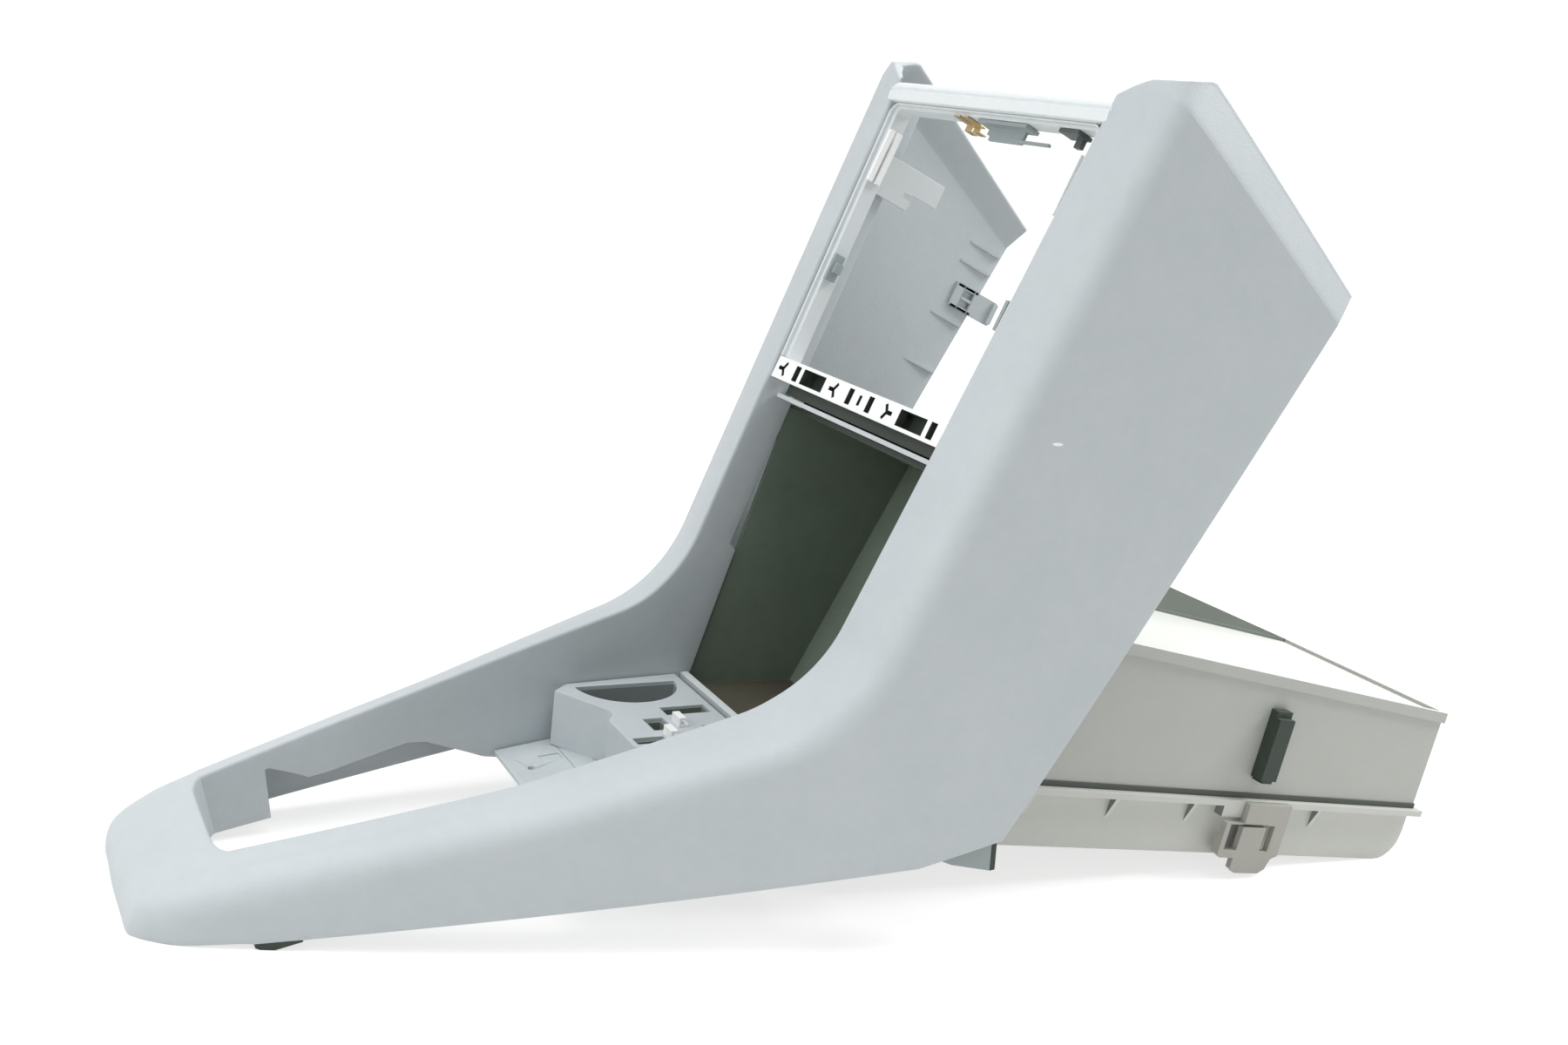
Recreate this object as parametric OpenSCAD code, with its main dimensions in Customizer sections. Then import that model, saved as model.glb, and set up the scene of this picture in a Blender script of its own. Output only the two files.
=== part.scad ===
// Vehicle center console, bare moulding with its storage bin, radio opening and rear duct housing.
// The pieces are drawn in the console's own frame: X runs from the nose of the arm to the housing,
// Y across, Z up from the straight sole edge. Module stand() then tips the whole console back
// until it rests on the nose foot and on the end of the housing pan.

/* [Side profile] */
// Distance of the nose shoulder before the middle of the console
tip_x = 262; // [252:1:275]
// Height of the shoulder at the nose
tip_z = 27.5; // [24:0.5:32]
// Distance of the arm's waist before the middle
waist_x = 137; // [115:1:160]
// Height of the shoulder at the waist
waist_z = 47.5; // [44:0.5:54]
// Distance of the knee behind the middle
knee_x = 14; // [5:1:24]
// Height of the shoulder corner at the knee
knee_z = 79; // [72:1:90]
// Radius of the knee between the arm and the tower
knee_r = 84; // [50:1:110]
// Distance of the tower's top behind the middle
top_x = 160; // [150:1:172]
// Height of the tower's top shoulder
top_z = 377; // [350:1:400]
// Distance of the tower's back corner behind the middle
back_x = 270; // [250:1:290]
// Height of the tower's back corner
back_z = 270; // [240:1:290]
// Distance of the heel behind the middle
heel_x = 100; // [94:1:106]
// Height of the heel above the sole
heel_z = 9; // [6:0.5:12]
// Length of the nose before its shoulder
nose_len = 45; // [38:1:52]

/* [Widths and walls] */
// Width over the shoulders at the nose
tip_w = 134; // [124:1:144]
// Width over the shoulders at the middle
mid_w = 239; // [230:1:250]
// Width over the shoulders at the back corner
back_w = 295; // [285:1:305]
// Draft of the side walls in degrees
draft = 0.35; // [0:0.05:0.8]
// Thickness of the outer wall
wall = 3; // [2.4:0.1:4]
// Width of the front band beside the tower opening
band_w = 39; // [34:0.5:42]
// Width of the band beside the opening at the nose
band_tip_w = 26; // [22:0.5:30]
// Height of the crowned band over the shoulder
crown = 8; // [5:0.5:11]
// Rounding of the shoulder
shoulder_r = 13; // [8:0.5:18]
// Rounding of the opening's edge
edge_r = 3; // [1.5:0.5:4]
// Depth of the inner skirt round the bin
skirt_d = 24; // [16:1:26]
// Thickness of the inner skirt
skirt_t = 2.5; // [2:0.1:3.5]
// Length of the top rail along the tower's front
rail_h = 17; // [15:0.5:22]
// Outward reach of the bent band on the upper back
bend_out = 17; // [12:0.5:22]
// Outward reach of the bent band at the tower's top
bend_top = 23; // [16:0.5:26]
// Rise of the side walls over the top shoulder
cap_rise = 8; // [6:0.5:14]
// Inward lean of the bent band
bend_in = 5; // [2:0.5:9]

/* [Radio opening] */
// Length of the radio opening along the tower's front
radio_h = 161; // [150:1:170]
// Width of the frame's rim
frame_w = 5; // [3.5:0.5:7]
// Depth of the frame behind the front
frame_d = 12; // [9:1:16]
// Height of the crossbar's face
bar_h = 13; // [10:0.5:15]
// Depth of the crossbar
bar_d = 9; // [7:1:12]
// Height of the thin trim bar under the crossbar
trim_h = 2.4; // [2:0.2:4]
// Gap between the crossbar and the trim bar
trim_gap = 7; // [4:0.5:9]

/* [Storage bin] */
// Wall of the bin
bin_wall = 2.5; // [2:0.1:3.5]
// Depth of the bin along its roof
bin_d = 104; // [92:1:108]
// Height of the bin floor at the sill
bin_floor_z = 25; // [20:1:28]
// Fall of the bin floor towards its back
bin_fall = 12; // [6:1:16]
// Height of the light sill strip before the bin
sill_h = 13; // [11:0.5:15]

/* [Carrier] */
// Height of the carrier's top
carrier_z = 41; // [36:1:44]
// Distance of the carrier's front blocks before the middle
carrier_x = 70; // [60:1:80]
// Wall of the carrier
carrier_wall = 2.5; // [2:0.1:3.5]
// Radius of the side pockets
pocket_r = 31; // [26:0.5:33]
// Depth of the side pockets
pocket_d = 26; // [16:1:30]
// Length of the floor plate before the carrier
plate_len = 34; // [24:1:44]

/* [Rear housing] */
// Slope of the housing under the console in degrees
house_slope = 13.6; // [12:0.1:16]
// Width of the housing
house_w = 146; // [130:1:160]
// Height of the rim over the flange at the free end
house_h = 68; // [58:1:75]
// Rise of the rim towards the console in degrees
rim_rise = 4.2; // [2:0.1:6]
// Wall of the housing
house_wall = 3; // [2.4:0.1:4]
// Depth of the pan under the flange
pan_d = 38; // [30:1:40]
// Reach of the flange past the side walls
flange_out = 5; // [3:0.5:7]
// Thickness of the flange
flange_t = 4; // [3:0.5:5]
// Spacing of the stiffening ribs under the flange
rib_pitch = 63; // [54:1:66]
// Length of the latch along the flange
latch_w = 52; // [44:1:60]
// Distance of the latch from the free end
latch_s = 150; // [135:1:160]
// Diameter of the fixing screws' holes
screw_d = 4.4; // [3.5:0.1:5]

/* [Hidden] */
$fn = 48;

// gap left at every seat between two pieces
seat = 0.3;
function unit(v) = v / norm(v);
function mix(a, b, t) = a + (b - a) * t;
function rot90(v) = [-v[1], v[0]];

// corners of the side profile, as [x, z]
P_top = [top_x, top_z];
P_knee = [knee_x, knee_z];
P_waist = [-waist_x, waist_z];
P_tip = [-tip_x, tip_z];
P_back = [back_x, back_z];
P_heel = [heel_x, heel_z];
P_sole = [heel_x - 46, 0];

// half width of the side wall at a place of the profile: a parabola through the three widths
wq = ((back_w + tip_w) / 4 - mid_w / 2) / pow(tip_x, 2);
wl = (back_w - tip_w) / 4 / tip_x;
function half_w(x, z) = mid_w / 2 + wl * x + wq * x * x - z * tan(draft);
// width of the band and half width of the opening
function band(x) = lookup(x, [[-tip_x, band_tip_w], [-waist_x, band_tip_w + 2], [knee_x - 20, band_w]]);
function open_w(x, z) = half_w(x, z) - band(x);

// frame of the tower's front: along it, and out of it
u_tow = unit(P_top - P_knee);
n_tow = rot90(u_tow);
// a place given by its distance down from the top and its height over the shoulder line
function on_tower(down, out) = P_top - u_tow * down + n_tow * out;
tower_deg = atan2(u_tow[1], u_tow[0]);

// directions of the tower's back edge
u_edge = unit(P_heel - P_back);
n_edge = rot90(u_edge);

// places down the tower's front: opening, crossbar, trim bar, bin
bar_down = rail_h + radio_h;
trim_down = bar_down + bar_h + trim_gap;
bin_down = trim_down + trim_h + seat;
function tow_open(down) = let (p = on_tower(down, 0)) open_w(p[0], p[1]);

// inside outline of the storage bin: roof square to the tower's front, back wall along the
// tower's back, falling floor
function cross_at(p, d, q, e) = p + d * ((q - p) * rot90(e)) / (d * rot90(e));
bin_out = crown - skirt_d - seat;
B_roof = on_tower(bin_down + bin_wall, bin_out);
B_rear = B_roof - n_tow * bin_d;
B_sill = [knee_x + 6, bin_floor_z];
B_heel = cross_at(B_rear, u_edge, B_sill, [70, -bin_fall]);
bin_poly = [B_roof, B_rear, B_heel, B_sill];
function moved(p, q, d) = p + rot90(unit(q - p)) * d;
// outline with every edge moved outwards
function grown(p, d) = [for (i = [0:len(p) - 1])
    let (a = p[(i + len(p) - 1) % len(p)], b = p[i], c = p[(i + 1) % len(p)])
    cross_at(moved(a, b, d), b - a, moved(b, c, d), c - b)];
B_face = unit(B_roof - B_sill);

// shoulder line: straight tower, round knee, soft waist, arm
function fillet(a, b, c, r, n) =
    let (p = unit(a - b), q = unit(c - b), half = acos(p * q) / 2,
        cen = b + unit(p + q) * r / sin(half),
        s = b + p * r / tan(half), e = b + q * r / tan(half),
        a0 = atan2(s[1] - cen[1], s[0] - cen[0]), a1 = atan2(e[1] - cen[1], e[0] - cen[0]),
        da = a1 - a0 > 180 ? a1 - a0 - 360 : a1 - a0 < -180 ? a1 - a0 + 360 : a1 - a0)
    [for (i = [0:n]) cen + r * [cos(a0 + da * i / n), sin(a0 + da * i / n)]];
knee_n = 10;
waist_n = 4;
tower_n = 4;
knee_pts = fillet(P_top, P_knee, P_waist, knee_r, knee_n);
waist_pts = fillet(P_knee, P_waist, P_tip, 420, waist_n);
// the skirt inside the arm: height of its lower edge along the arm
notch = [[-235, 2], [-234, 29], [-229, 29], [-211, 18], [-153, 25], [-122, 6], [-112, 3]];
arm_a = [for (i = [1:3]) mix(knee_pts[knee_n], waist_pts[0], i / 4)];
arm_b = [for (x = [-211, -229, -234, -235, -250])
    [x, mix(waist_z, tip_z, (-x - waist_x) / (tip_x - waist_x))]];
tower_a = [for (i = [0:tower_n - 1]) mix(P_top, knee_pts[0], i / tower_n)];
shoulder = concat(tower_a, knee_pts, arm_a, waist_pts, arm_b, [P_tip]);
side_n = len(shoulder);
function way(i) = unit(shoulder[min(i + 1, side_n - 1)] - shoulder[max(i - 1, 0)]);
function nrm(i) = -rot90(way(i));
n_arm = unit([waist_z - tip_z, 0] * -1 + [0, tip_x - waist_x]);

// lower and back edge of the wall that belongs to each place of the shoulder
arm_count = side_n - tower_n - knee_n;
function edge(i) = i <= tower_n ? mix(P_back, P_heel, i / tower_n)
    : i <= tower_n + knee_n ? mix(P_heel, P_sole, (i - tower_n) / knee_n)
    : let (s = shoulder[i], e = mix(P_sole, [-tip_x + 4, 0],
        (P_sole[0] - min(s[0], P_sole[0])) / (P_sole[0] + tip_x)))
      mix(P_sole, [-tip_x + 4, 0], (shoulder[tower_n + knee_n][0] - s[0])
        / (shoulder[tower_n + knee_n][0] + tip_x));

// depth of the skirt below the opening's edge at a place of the shoulder: even in the tower,
// down to the bin's front edge in the knee, and down to the notched line in the arm
function skirt_at(i) = let (n = nrm(i), o = shoulder[i] + n * crown,
        f = B_roof - B_sill + [2.9, 0], t = (B_sill - [2.9, 0] - o) * rot90(f) / (-n * rot90(f)) - seat)
    i <= tower_n ? skirt_d
    : (o - n * t)[1] > B_sill[1] && t > 0 ? t
    : max(4, (o[1] - arm_skirt_z(o[0])) / n[1]);
function arm_skirt_z(x) = x > -112 ? 3 : lookup(x, notch);

// one section of the wall: from its lower edge up over the shoulder to the opening, down the
// skirt and back along the inside. s shoulder, o opening edge, b lower edge, l outwards, n upwards
function soft(p, a, b, r, k) = [for (i = [0:k]) let (t = i / k) p + a * r * pow(1 - t, 2) + b * r * t * t];
function section(s, o, b, l, n, sk, mids, mids_in) =
    let (w = unit(b - s), f = unit(o - s))
    concat([b], mids, soft(s, w, f, shoulder_r, 4), soft(o, -f, -n, edge_r, 3),
        [o - n * sk, o - n * sk + l * skirt_t, o + l * skirt_t - n * (wall + 1), s - l * (wall + 2) - n * (wall + 1)],
        mids_in, [b - l * wall]);

function side_section(i, sgn) =
    let (s2 = shoulder[i], n2 = nrm(i), b2 = edge(i), o2 = s2 + n2 * crown,
        s = [s2[0], sgn * half_w(s2[0], s2[1]), s2[1]],
        o = [o2[0], sgn * open_w(s2[0], s2[1]), o2[1]],
        b = [b2[0], sgn * half_w(b2[0], b2[1]), b2[1]],
        m = [for (t = [0.33, 0.67]) let (q = mix(b2, s2, t)) [q[0], sgn * half_w(q[0], q[1]), q[1]]])
    section(s, o, b, [0, sgn, 0], [n2[0], 0, n2[1]], skirt_at(i), m,
        [m[1] - [0, sgn * wall, 0], m[0] - [0, sgn * wall, 0]]);

// nose: the same section carried round a blunt end, with its lower edge lifted a little
nose_rise = 3;
nose_n = 14;
function pw(v, e) = sign(v) * pow(abs(v), e);
// its plan is a taper, a rounded corner and a nearly straight front, as shares of length and half width
nose_plan = [[0, 1], [0.3, 0.945], [0.56, 0.885], [0.78, 0.795], [0.93, 0.71], [0.99, 0.62], [1, 0.35], [1.01, 0]];
function blunt(k, lx, wy) = let (p = nose_plan[min(k, nose_n - k)]) [-lx * p[0], (k < nose_n / 2 ? -wy : wy) * p[1]];
function nose_section(k) =
    let (a = 180 * k / nose_n, n = [n_arm[0], 0, n_arm[1]],
        w0 = half_w(-tip_x, tip_z), s2 = blunt(k, nose_len, w0),
        o2 = blunt(k, max(3, nose_len - band_w - 1), open_w(-tip_x, tip_z)),
        b2 = blunt(k, nose_len + 6.5, half_w(-tip_x + 4, 0)),
        slope = (waist_z - tip_z) / (waist_x - tip_x),
        s = [-tip_x + s2[0], s2[1], tip_z - slope * s2[0]],
        o = [-tip_x + o2[0], o2[1], tip_z - slope * o2[0]] + n * crown,
        b = [-tip_x + 4 + b2[0], b2[1], nose_rise * pw(sin(a), 0.5)],
        l = unit([s[0] - o[0], s[1] - o[1], 0]),
        m = [for (t = [0.33, 0.67]) mix(b, s, t)])
    section(s, o, b, l, n, (o[2] - 2) / n[2], m, [m[1] - l * wall, m[0] - l * wall]);

loft = concat([for (i = [0:side_n - 1]) side_section(i, -1)],
    [for (k = [1:nose_n - 1]) nose_section(k)],
    [for (i = [side_n - 1:-1:0]) side_section(i, 1)]);

// closed skin over a row of sections; ends says how a section's outline is cut into triangles
wall_ends = [[0, 1, 17], [0, 17, 18], [1, 2, 16], [1, 16, 17], [2, 3, 15], [2, 15, 16], [3, 4, 15],
    [4, 5, 15], [5, 6, 15], [6, 7, 15], [7, 8, 14], [7, 14, 15], [8, 9, 14], [9, 10, 14], [10, 11, 14],
    [11, 12, 13], [11, 13, 14]];
module skin(rows, ends) {
    n = len(rows);
    m = len(rows[0]);
    polyhedron(points = [for (r = rows) for (p = r) p],
        faces = concat(
            ends,
            [for (e = ends) [for (j = [2:-1:0]) (n - 1) * m + e[j]]],
            [for (i = [0:n - 2]) for (j = [0:m - 1]) for (h = [0, 1])
                h == 0 ? [i * m + j, (i + 1) * m + j, (i + 1) * m + (j + 1) % m]
                       : [i * m + j, (i + 1) * m + (j + 1) % m, i * m + (j + 1) % m]]),
        convexity = 10);
}

// ways of drawing: a profile in XZ run across Y, and a plan run up Z
module across(y0, y1) {
    translate([0, y1, 0])
        rotate([90, 0, 0])
            linear_extrude(y1 - y0)
                children();
}
// a box placed in the frame of the tower's front: down the front, across, and into the tower
module in_tower(down, out) {
    p = on_tower(down, out);
    translate([p[0], 0, p[1]])
        rotate([0, -tower_deg, 0])
            children();
}
module both_sides() {
    children();
    mirror([0, 1, 0])
        children();
}

// resting pose: foot under the nose and far lower edge of the pan on the ground
foot_p = [-tip_x + 6, -3];
house_end = [480, -75];
h_ax = [cos(house_slope), -sin(house_slope)];
h_up = [sin(house_slope), cos(house_slope)];
function on_house(s, t) = house_end + h_ax * s + h_up * t;
pan_corner = 20;
pan_p = on_house(-pan_corner, -pan_d);
tilt = atan2(foot_p[1] - pan_p[1], pan_p[0] - foot_p[0]);
function stood(p) = [p[0] * cos(tilt) - p[1] * sin(tilt), p[0] * sin(tilt) + p[1] * cos(tilt)];
lift = -stood(foot_p)[1];
rim_end = on_house(1.6, house_h);
front_x = stood([-tip_x - nose_len, tip_z - 8])[0];
shift = -(front_x + stood(rim_end)[0]) / 2;
module stand() {
    translate([shift, 0, lift])
        rotate([0, -tilt, 0])
            children();
}

// upper-back edge of the wall, bent inwards; its top end is level
u_bk = unit(P_back - P_top);
n_bk = rot90(u_bk);
bend_a = P_back + n_bk * bend_out;
bend_b = cross_at(bend_a, P_top + n_bk * bend_top - bend_a, [0, top_z + cap_rise], [1, 0]);
cap_p = cross_at(P_top, u_tow, [0, top_z + cap_rise], [1, 0]);
module bent_band() {
    rim = [P_back - n_bk * 2, P_back, bend_a, bend_b, cap_p, P_top - n_bk * 2];
    lean = bend_in / bend_out;
    function y(p) = half_w(p[0], p[1]) - max(0, (p - P_top) * n_bk) * lean;
    n = len(rim);
    polyhedron(points = concat([for (p = rim) [p[0], y(p), p[1]]], [for (p = rim) [p[0], y(p) - wall, p[1]]]),
        faces = concat([[0, 1, 4, 5], [1, 2, 4], [2, 3, 4]], [[n + 5, n + 4, n + 1, n], [n + 4, n + 2, n + 1], [n + 4, n + 3, n + 2]],
            [for (i = [0:n - 1]) for (h = [0, 1]) h == 0 ? [i, n + i, n + (i + 1) % n] : [i, n + (i + 1) % n, (i + 1) % n]]));
}

// top rail: front strip, rounded top and a short lip to the back
rail_top = 5;
rail_w = open_w(top_x, top_z) + 4;
module top_rail() {
    in_tower(0, crown)
        across(-rail_w, rail_w)
            difference() {
                union() {
                    translate([-rail_h, -wall])
                        square([rail_h - rail_top - 3, wall]);
                    translate([-rail_h, -16])
                        square([skirt_t, 16]);
                    translate([-rail_top - 4, -4])
                        circle(r = 4);
                    translate([-rail_top - wall, -16])
                        square([wall, 12]);
                }
                translate([-rail_h * 0.62, 0.2])
                    circle(r = 1.2, $fn = 24);
            }
}

// corners close the top between the rail and the raised side walls
module top_corner() {
    w0 = open_w(top_x, top_z) - 1;
    w1 = half_w(top_x, top_z);
    skin(ends = [[0, 1, 4], [1, 2, 4], [2, 3, 4], [0, 4, 5]], rows = [for (t = [0, 0.25, 0.5, 0.75, 0.93, 1])
        let (y = mix(w0, w1 - 1.2, t), c = crown * (1 - t) - (t > 0.9 ? 2.5 * (t - 0.9) / 0.1 : 0),
            e = (cap_rise + 1) * sin(min(90, t * 110)) - (t > 0.95 ? 2 : 0) - rail_top * (1 - min(1, t * 1.5)),
            a = P_top - u_tow * (rail_top + 5) + n_tow * (c - 0.4), q = P_top + u_tow * e + n_tow * (c - 1),
            r = q - n_tow * 12, m = r - u_tow * 5)
        [for (g = [a, q, r, m, [(q + n_tow * -4)[0], (q - u_tow * 5)[1]], a - n_tow * 3])
            [g[0], y - t * t * max(0, (g - P_top) * n_bk) * bend_in / bend_out, g[1]]]]);
}

// thin ribs and the snap tab on the inside of a side wall, square to the tower's front
module at_edge(down) {
    p = P_back + u_edge * down;
    translate([p[0], half_w(p[0], p[1]) - wall, p[1]])
        rotate([0, -tower_deg, 0])
            children();
}
rib_down = [8, 21.5, 60, 95];
module wall_rib(down, long) {
    at_edge(down)
        translate([-0.8, -2.2, 1.5])
            cube([1.6, 2.8, long]);
}
tab_down = 43;
module snap_tab() {
    at_edge(tab_down)
        union() {
            translate([-8, -3, -15])
                difference() {
                    cube([16, 2.2, 36]);
                    for (x = [2.5, 9])
                        translate([x, -1, 20])
                            cube([4.5, 5, 9]);
                }
            for (x = [-8, 6])
                translate([x, -3, 2])
                    cube([2, 4, 18]);
            translate([-7, -5, -15])
                cube([14, 3, 4]);
        }
}

module console_shell() {
    color([0.70, 0.74, 0.75])
        stand()
            union() {
                skin(loft, wall_ends);
                top_rail();
                both_sides() {
                    bent_band();
                    top_corner();
                    for (d = rib_down)
                        wall_rib(d, 27);
                }
                snap_tab();
            }
}

// frame of the radio opening: two sides and a top, just inside the skirt
frame_out = crown - 3;
frame_top = 2.6;
module radio_frame() {
    color([0.80, 0.83, 0.84])
        stand()
            in_tower(0, frame_out - frame_d)
                difference() {
                    linear_extrude(frame_d)
                        frame_plan(0);
                    translate([0, 0, -1])
                        linear_extrude(frame_d + 2)
                            frame_plan(frame_w);
                    translate([0, 0, frame_d - 2.5])
                        linear_extrude(3)
                            frame_plan(frame_w * 0.45);
                }
}
module frame_plan(in) {
    a = -rail_h - seat - in * frame_top / frame_w;
    b = -bar_down + seat - (in > 0 ? 2 : 0);
    wa = tow_open(rail_h) - 2 * seat - in;
    wb = tow_open(bar_down) - 2 * seat - in;
    r = 7 - min(in, 4);
    ka = atan2(wa - wb, a - b);
    polygon(concat(
        [for (t = [0:15:90]) [a - r + r * cos(t), wa - r + r * sin(t)]],
        [[b, wb], [b, -wb]],
        [for (t = [-90:15:0]) [a - r + r * cos(t), -wa + r + r * sin(t)]]));
}

// crossbar under the radio opening with its row of moulded cut-outs
module fork_cut(h) {
    translate([0, h / 2])
        for (a = [270, 35, 145])
            rotate(a)
                translate([-1.1, 0])
                    square([2.2, h * 0.55]);
}
cuts_mid = -7.3;
module bar_cuts() {
    h = bar_h - 4;
    translate([cuts_mid, 0]) {
        translate([-1.3, h * 0.18])
            square([2.6, h * 0.64]);
        for (m = [0, 1])
            mirror([m, 0]) {
                translate([8, 0])
                    square([5, h]);
                translate([28.3, 0])
                    fork_cut(h);
                translate([39.5, 0])
                    square([25, h]);
                translate([68.5, 0])
                    square([5.5, h]);
                if (m == 0)
                    translate([87.5, 0])
                        fork_cut(h);
            }
    }
}
module crossbar() {
    w = tow_open(bar_down + bar_h) - seat;
    color([0.93, 0.94, 0.94])
        stand()
            in_tower(bar_down + bar_h, frame_out - bar_d)
                difference() {
                    union() {
                        translate([0, -w, 0])
                            cube([bar_h, 2 * w, bar_d]);
                        translate([bar_h - 2, -w, -8])
                            cube([2, 2 * w, 9]);
                    }
                    translate([2, 0, bar_d - 6])
                        rotate([0, 0, 90])
                            mirror([0, 1, 0])
                                linear_extrude(8)
                                    bar_cuts();
                    translate([-1, -w + 4, -1])
                        cube([bar_h - 1, 2 * w - 8, bar_d - 4]);
                }
}
module trim_bar() {
    w = tow_open(trim_down + trim_h) - seat;
    color([0.85, 0.88, 0.86])
        stand()
            in_tower(trim_down + trim_h, crown - skirt_d - 2)
                union() {
                    translate([0, -w, 0])
                        cube([trim_h, 2 * w, 14]);
                    for (m = [-1, 1])
                        translate([0, m * (w - 3) - 3, 0])
                            cube([trim_h + trim_gap - seat, 6, 6]);
                }
}

// storage bin, open to the front
function bin_half(x) = half_w(x, 60) - band_w + 1;
module bin_plan(grow) {
    polygon([[-20, bin_half(-20) + grow], [240, bin_half(240) + grow],
        [240, -bin_half(240) - grow], [-20, -bin_half(-20) - grow]]);
}
module bin_solid(p, grow) {
    intersection() {
        across(-200, 200)
            polygon(p);
        translate([0, 0, -50])
            linear_extrude(400)
                bin_plan(grow);
    }
}
// flange from the bin's roof up behind the trim bar and forward to the back of the crossbar
flange_back = crown - skirt_d - 2 - seat;
module bin_flange() {
    w = tow_open(trim_down + trim_h) - 8;
    in_tower(bin_down + bin_wall, flange_back - bin_wall)
        translate([0.2, -w, 0])
            cube([bin_wall + seat + trim_h + 3, 2 * w, bin_wall]);
    in_tower(trim_down - 1, flange_back - bin_wall)
        translate([0, -w, 0])
            cube([2, 2 * w, frame_out - bar_d - seat - flange_back + bin_wall]);
    in_tower(trim_down - 1, frame_out - bar_d - seat - 2)
        translate([0, -w, 0])
            cube([trim_gap + bar_h - 3 - seat, 2 * w, 2]);
}
module bin_liner() {
    o = grown(bin_poly, bin_wall);
    f = B_face;
    color([0.16, 0.20, 0.17])
        stand()
            union() {
                difference() {
                    bin_solid([B_roof + f * bin_wall, o[1], o[2], B_sill - f * bin_wall], bin_wall);
                    bin_solid([B_roof + rot90(f) * 20, B_roof, B_rear, B_heel, B_sill, B_sill + rot90(f) * 20], 0);
                }
                bin_flange();
            }
}
sill_x = B_sill[0] - 5 - bin_wall * 0.5 - seat;
module bin_sill() {
    w = arm_half(B_sill[0] - 8);
    color([0.78, 0.80, 0.78])
        stand()
            translate([sill_x, -w, bin_floor_z + 9.5 - sill_h])
                cube([4.4, 2 * w, sill_h]);
}

// carrier in the arm: two side blocks with pockets, a recessed middle with sockets
carrier_gap = 3.5;
carrier_end = sill_x - carrier_gap;
carrier_base = 9;
carrier_fall = 5;
// the carrier falls towards the bin, turned about the upper edge of its front end
module in_carrier() {
    translate([-carrier_x, 0, carrier_z])
        rotate([0, carrier_fall, 0])
            translate([carrier_x, 0, -carrier_z])
                children();
}
function arm_half(x) = open_w(min(x, -14), 50) + max(0, x + 14) * 0.05 - 1.6;
module carrier_plan(in) {
    a = -carrier_x + in;
    e = carrier_end - in;
    polygon([[e, arm_half(e) - in], [a + 10, arm_half(a + 10) - in], [a, arm_half(a) - in - 8],
        [a + 20, 31 + in * 0.4], [a + 19, 25], [a + 14, 18 - in], [a + 14, -18 + in], [a + 19, -25],
        [a + 20, -31 - in * 0.4], [a, -arm_half(a) + in + 8], [a + 10, -arm_half(a + 10) + in],
        [e, -arm_half(e) + in]]);
}
pocket_x = -26;
pocket_in = 6;
pocket_y = arm_half(pocket_x) - pocket_in;
module pocket_plan(grow) {
    intersection() {
        translate([pocket_x, pocket_y])
            circle(r = pocket_r + grow, $fn = 64);
        translate([pocket_x - 50, 20])
            square([100, pocket_y - 22.5 + grow]);
    }
}
tray_x = -21;
tray_y = 19;
tray_l = 27;
tray_w = 11;
socket_a = [-31, 8];
socket_b = [-44, -12];
module insert_carrier() {
    color([0.74, 0.77, 0.78])
        stand() in_carrier()
            difference() {
                translate([0, 0, carrier_base])
                    linear_extrude(carrier_z - carrier_base)
                        carrier_plan(0);
                translate([0, 0, carrier_base - 1])
                    linear_extrude(carrier_z - carrier_base - carrier_wall + 1)
                        carrier_plan(carrier_wall);
                translate([0, 0, carrier_z - 10])
                    linear_extrude(20)
                        pocket_plan(0);
                mirror([0, 1, 0])
                    translate([0, 0, carrier_z - 10])
                        linear_extrude(20)
                            pocket_plan(0);
                translate([socket_a[0] - 6, socket_a[1] - 8, carrier_z - 5])
                    cube([12, 16, 10]);
                translate([socket_b[0] - 9, socket_b[1] - 4, carrier_z - 5])
                    cube([18, 8, 10]);
                translate([tray_x, tray_y, carrier_z - 5])
                    cube([tray_l, tray_w, 10]);
                translate([-8, -8, carrier_z - 1.4])
                    cube([18, 10, 3]);
            }
}
module pocket_liners() {
    t = carrier_z - carrier_wall - 0.01;
    color([0.30, 0.33, 0.34])
        stand() in_carrier()
            both_sides()
                translate([0, 0, t - pocket_d])
                    difference() {
                        linear_extrude(pocket_d)
                            pocket_plan(1.6);
                        translate([0, 0, 2])
                            linear_extrude(pocket_d)
                                pocket_plan(0);
                    }
}
module socket_blocks() {
    color([0.20, 0.23, 0.22])
        stand() in_carrier()
            union() {
                translate([socket_a[0] - 6 + seat, socket_a[1] - 8 + seat, carrier_z - 14])
                    difference() {
                        cube([12 - 2 * seat, 16 - 2 * seat, 12.5]);
                        translate([2, 2, 6])
                            cube([12 - 2 * seat - 4, 16 - 2 * seat - 4, 10]);
                    }
                translate([socket_b[0] - 9 + seat, socket_b[1] - 4 + seat, carrier_z - 14])
                    difference() {
                        cube([18 - 2 * seat, 8 - 2 * seat, 12.5]);
                        translate([2, 2, 6])
                            cube([18 - 2 * seat - 4, 8 - 2 * seat - 4, 10]);
                    }
                translate([tray_x + seat, tray_y + seat, carrier_z - 6])
                    difference() {
                        cube([tray_l - 2 * seat, tray_w - 2 * seat, 5]);
                        translate([1.2, 1.2, 2])
                            cube([tray_l - 2 * seat - 2.4, tray_w - 2 * seat - 2.4, 10]);
                    }
            }
}
module carrier_clips() {
    color([0.92, 0.93, 0.93])
        stand() in_carrier()
            for (p = [[-22, 6], [-34, -10]])
                translate([p[0], p[1] - 5, carrier_z])
                    union() {
                        cube([6, 10, 1.6]);
                        cube([1.6, 10, 5.5]);
                        translate([0, 0, 4])
                            cube([4, 10, 1.5]);
                    }
}
plate_z = 6;
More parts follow.
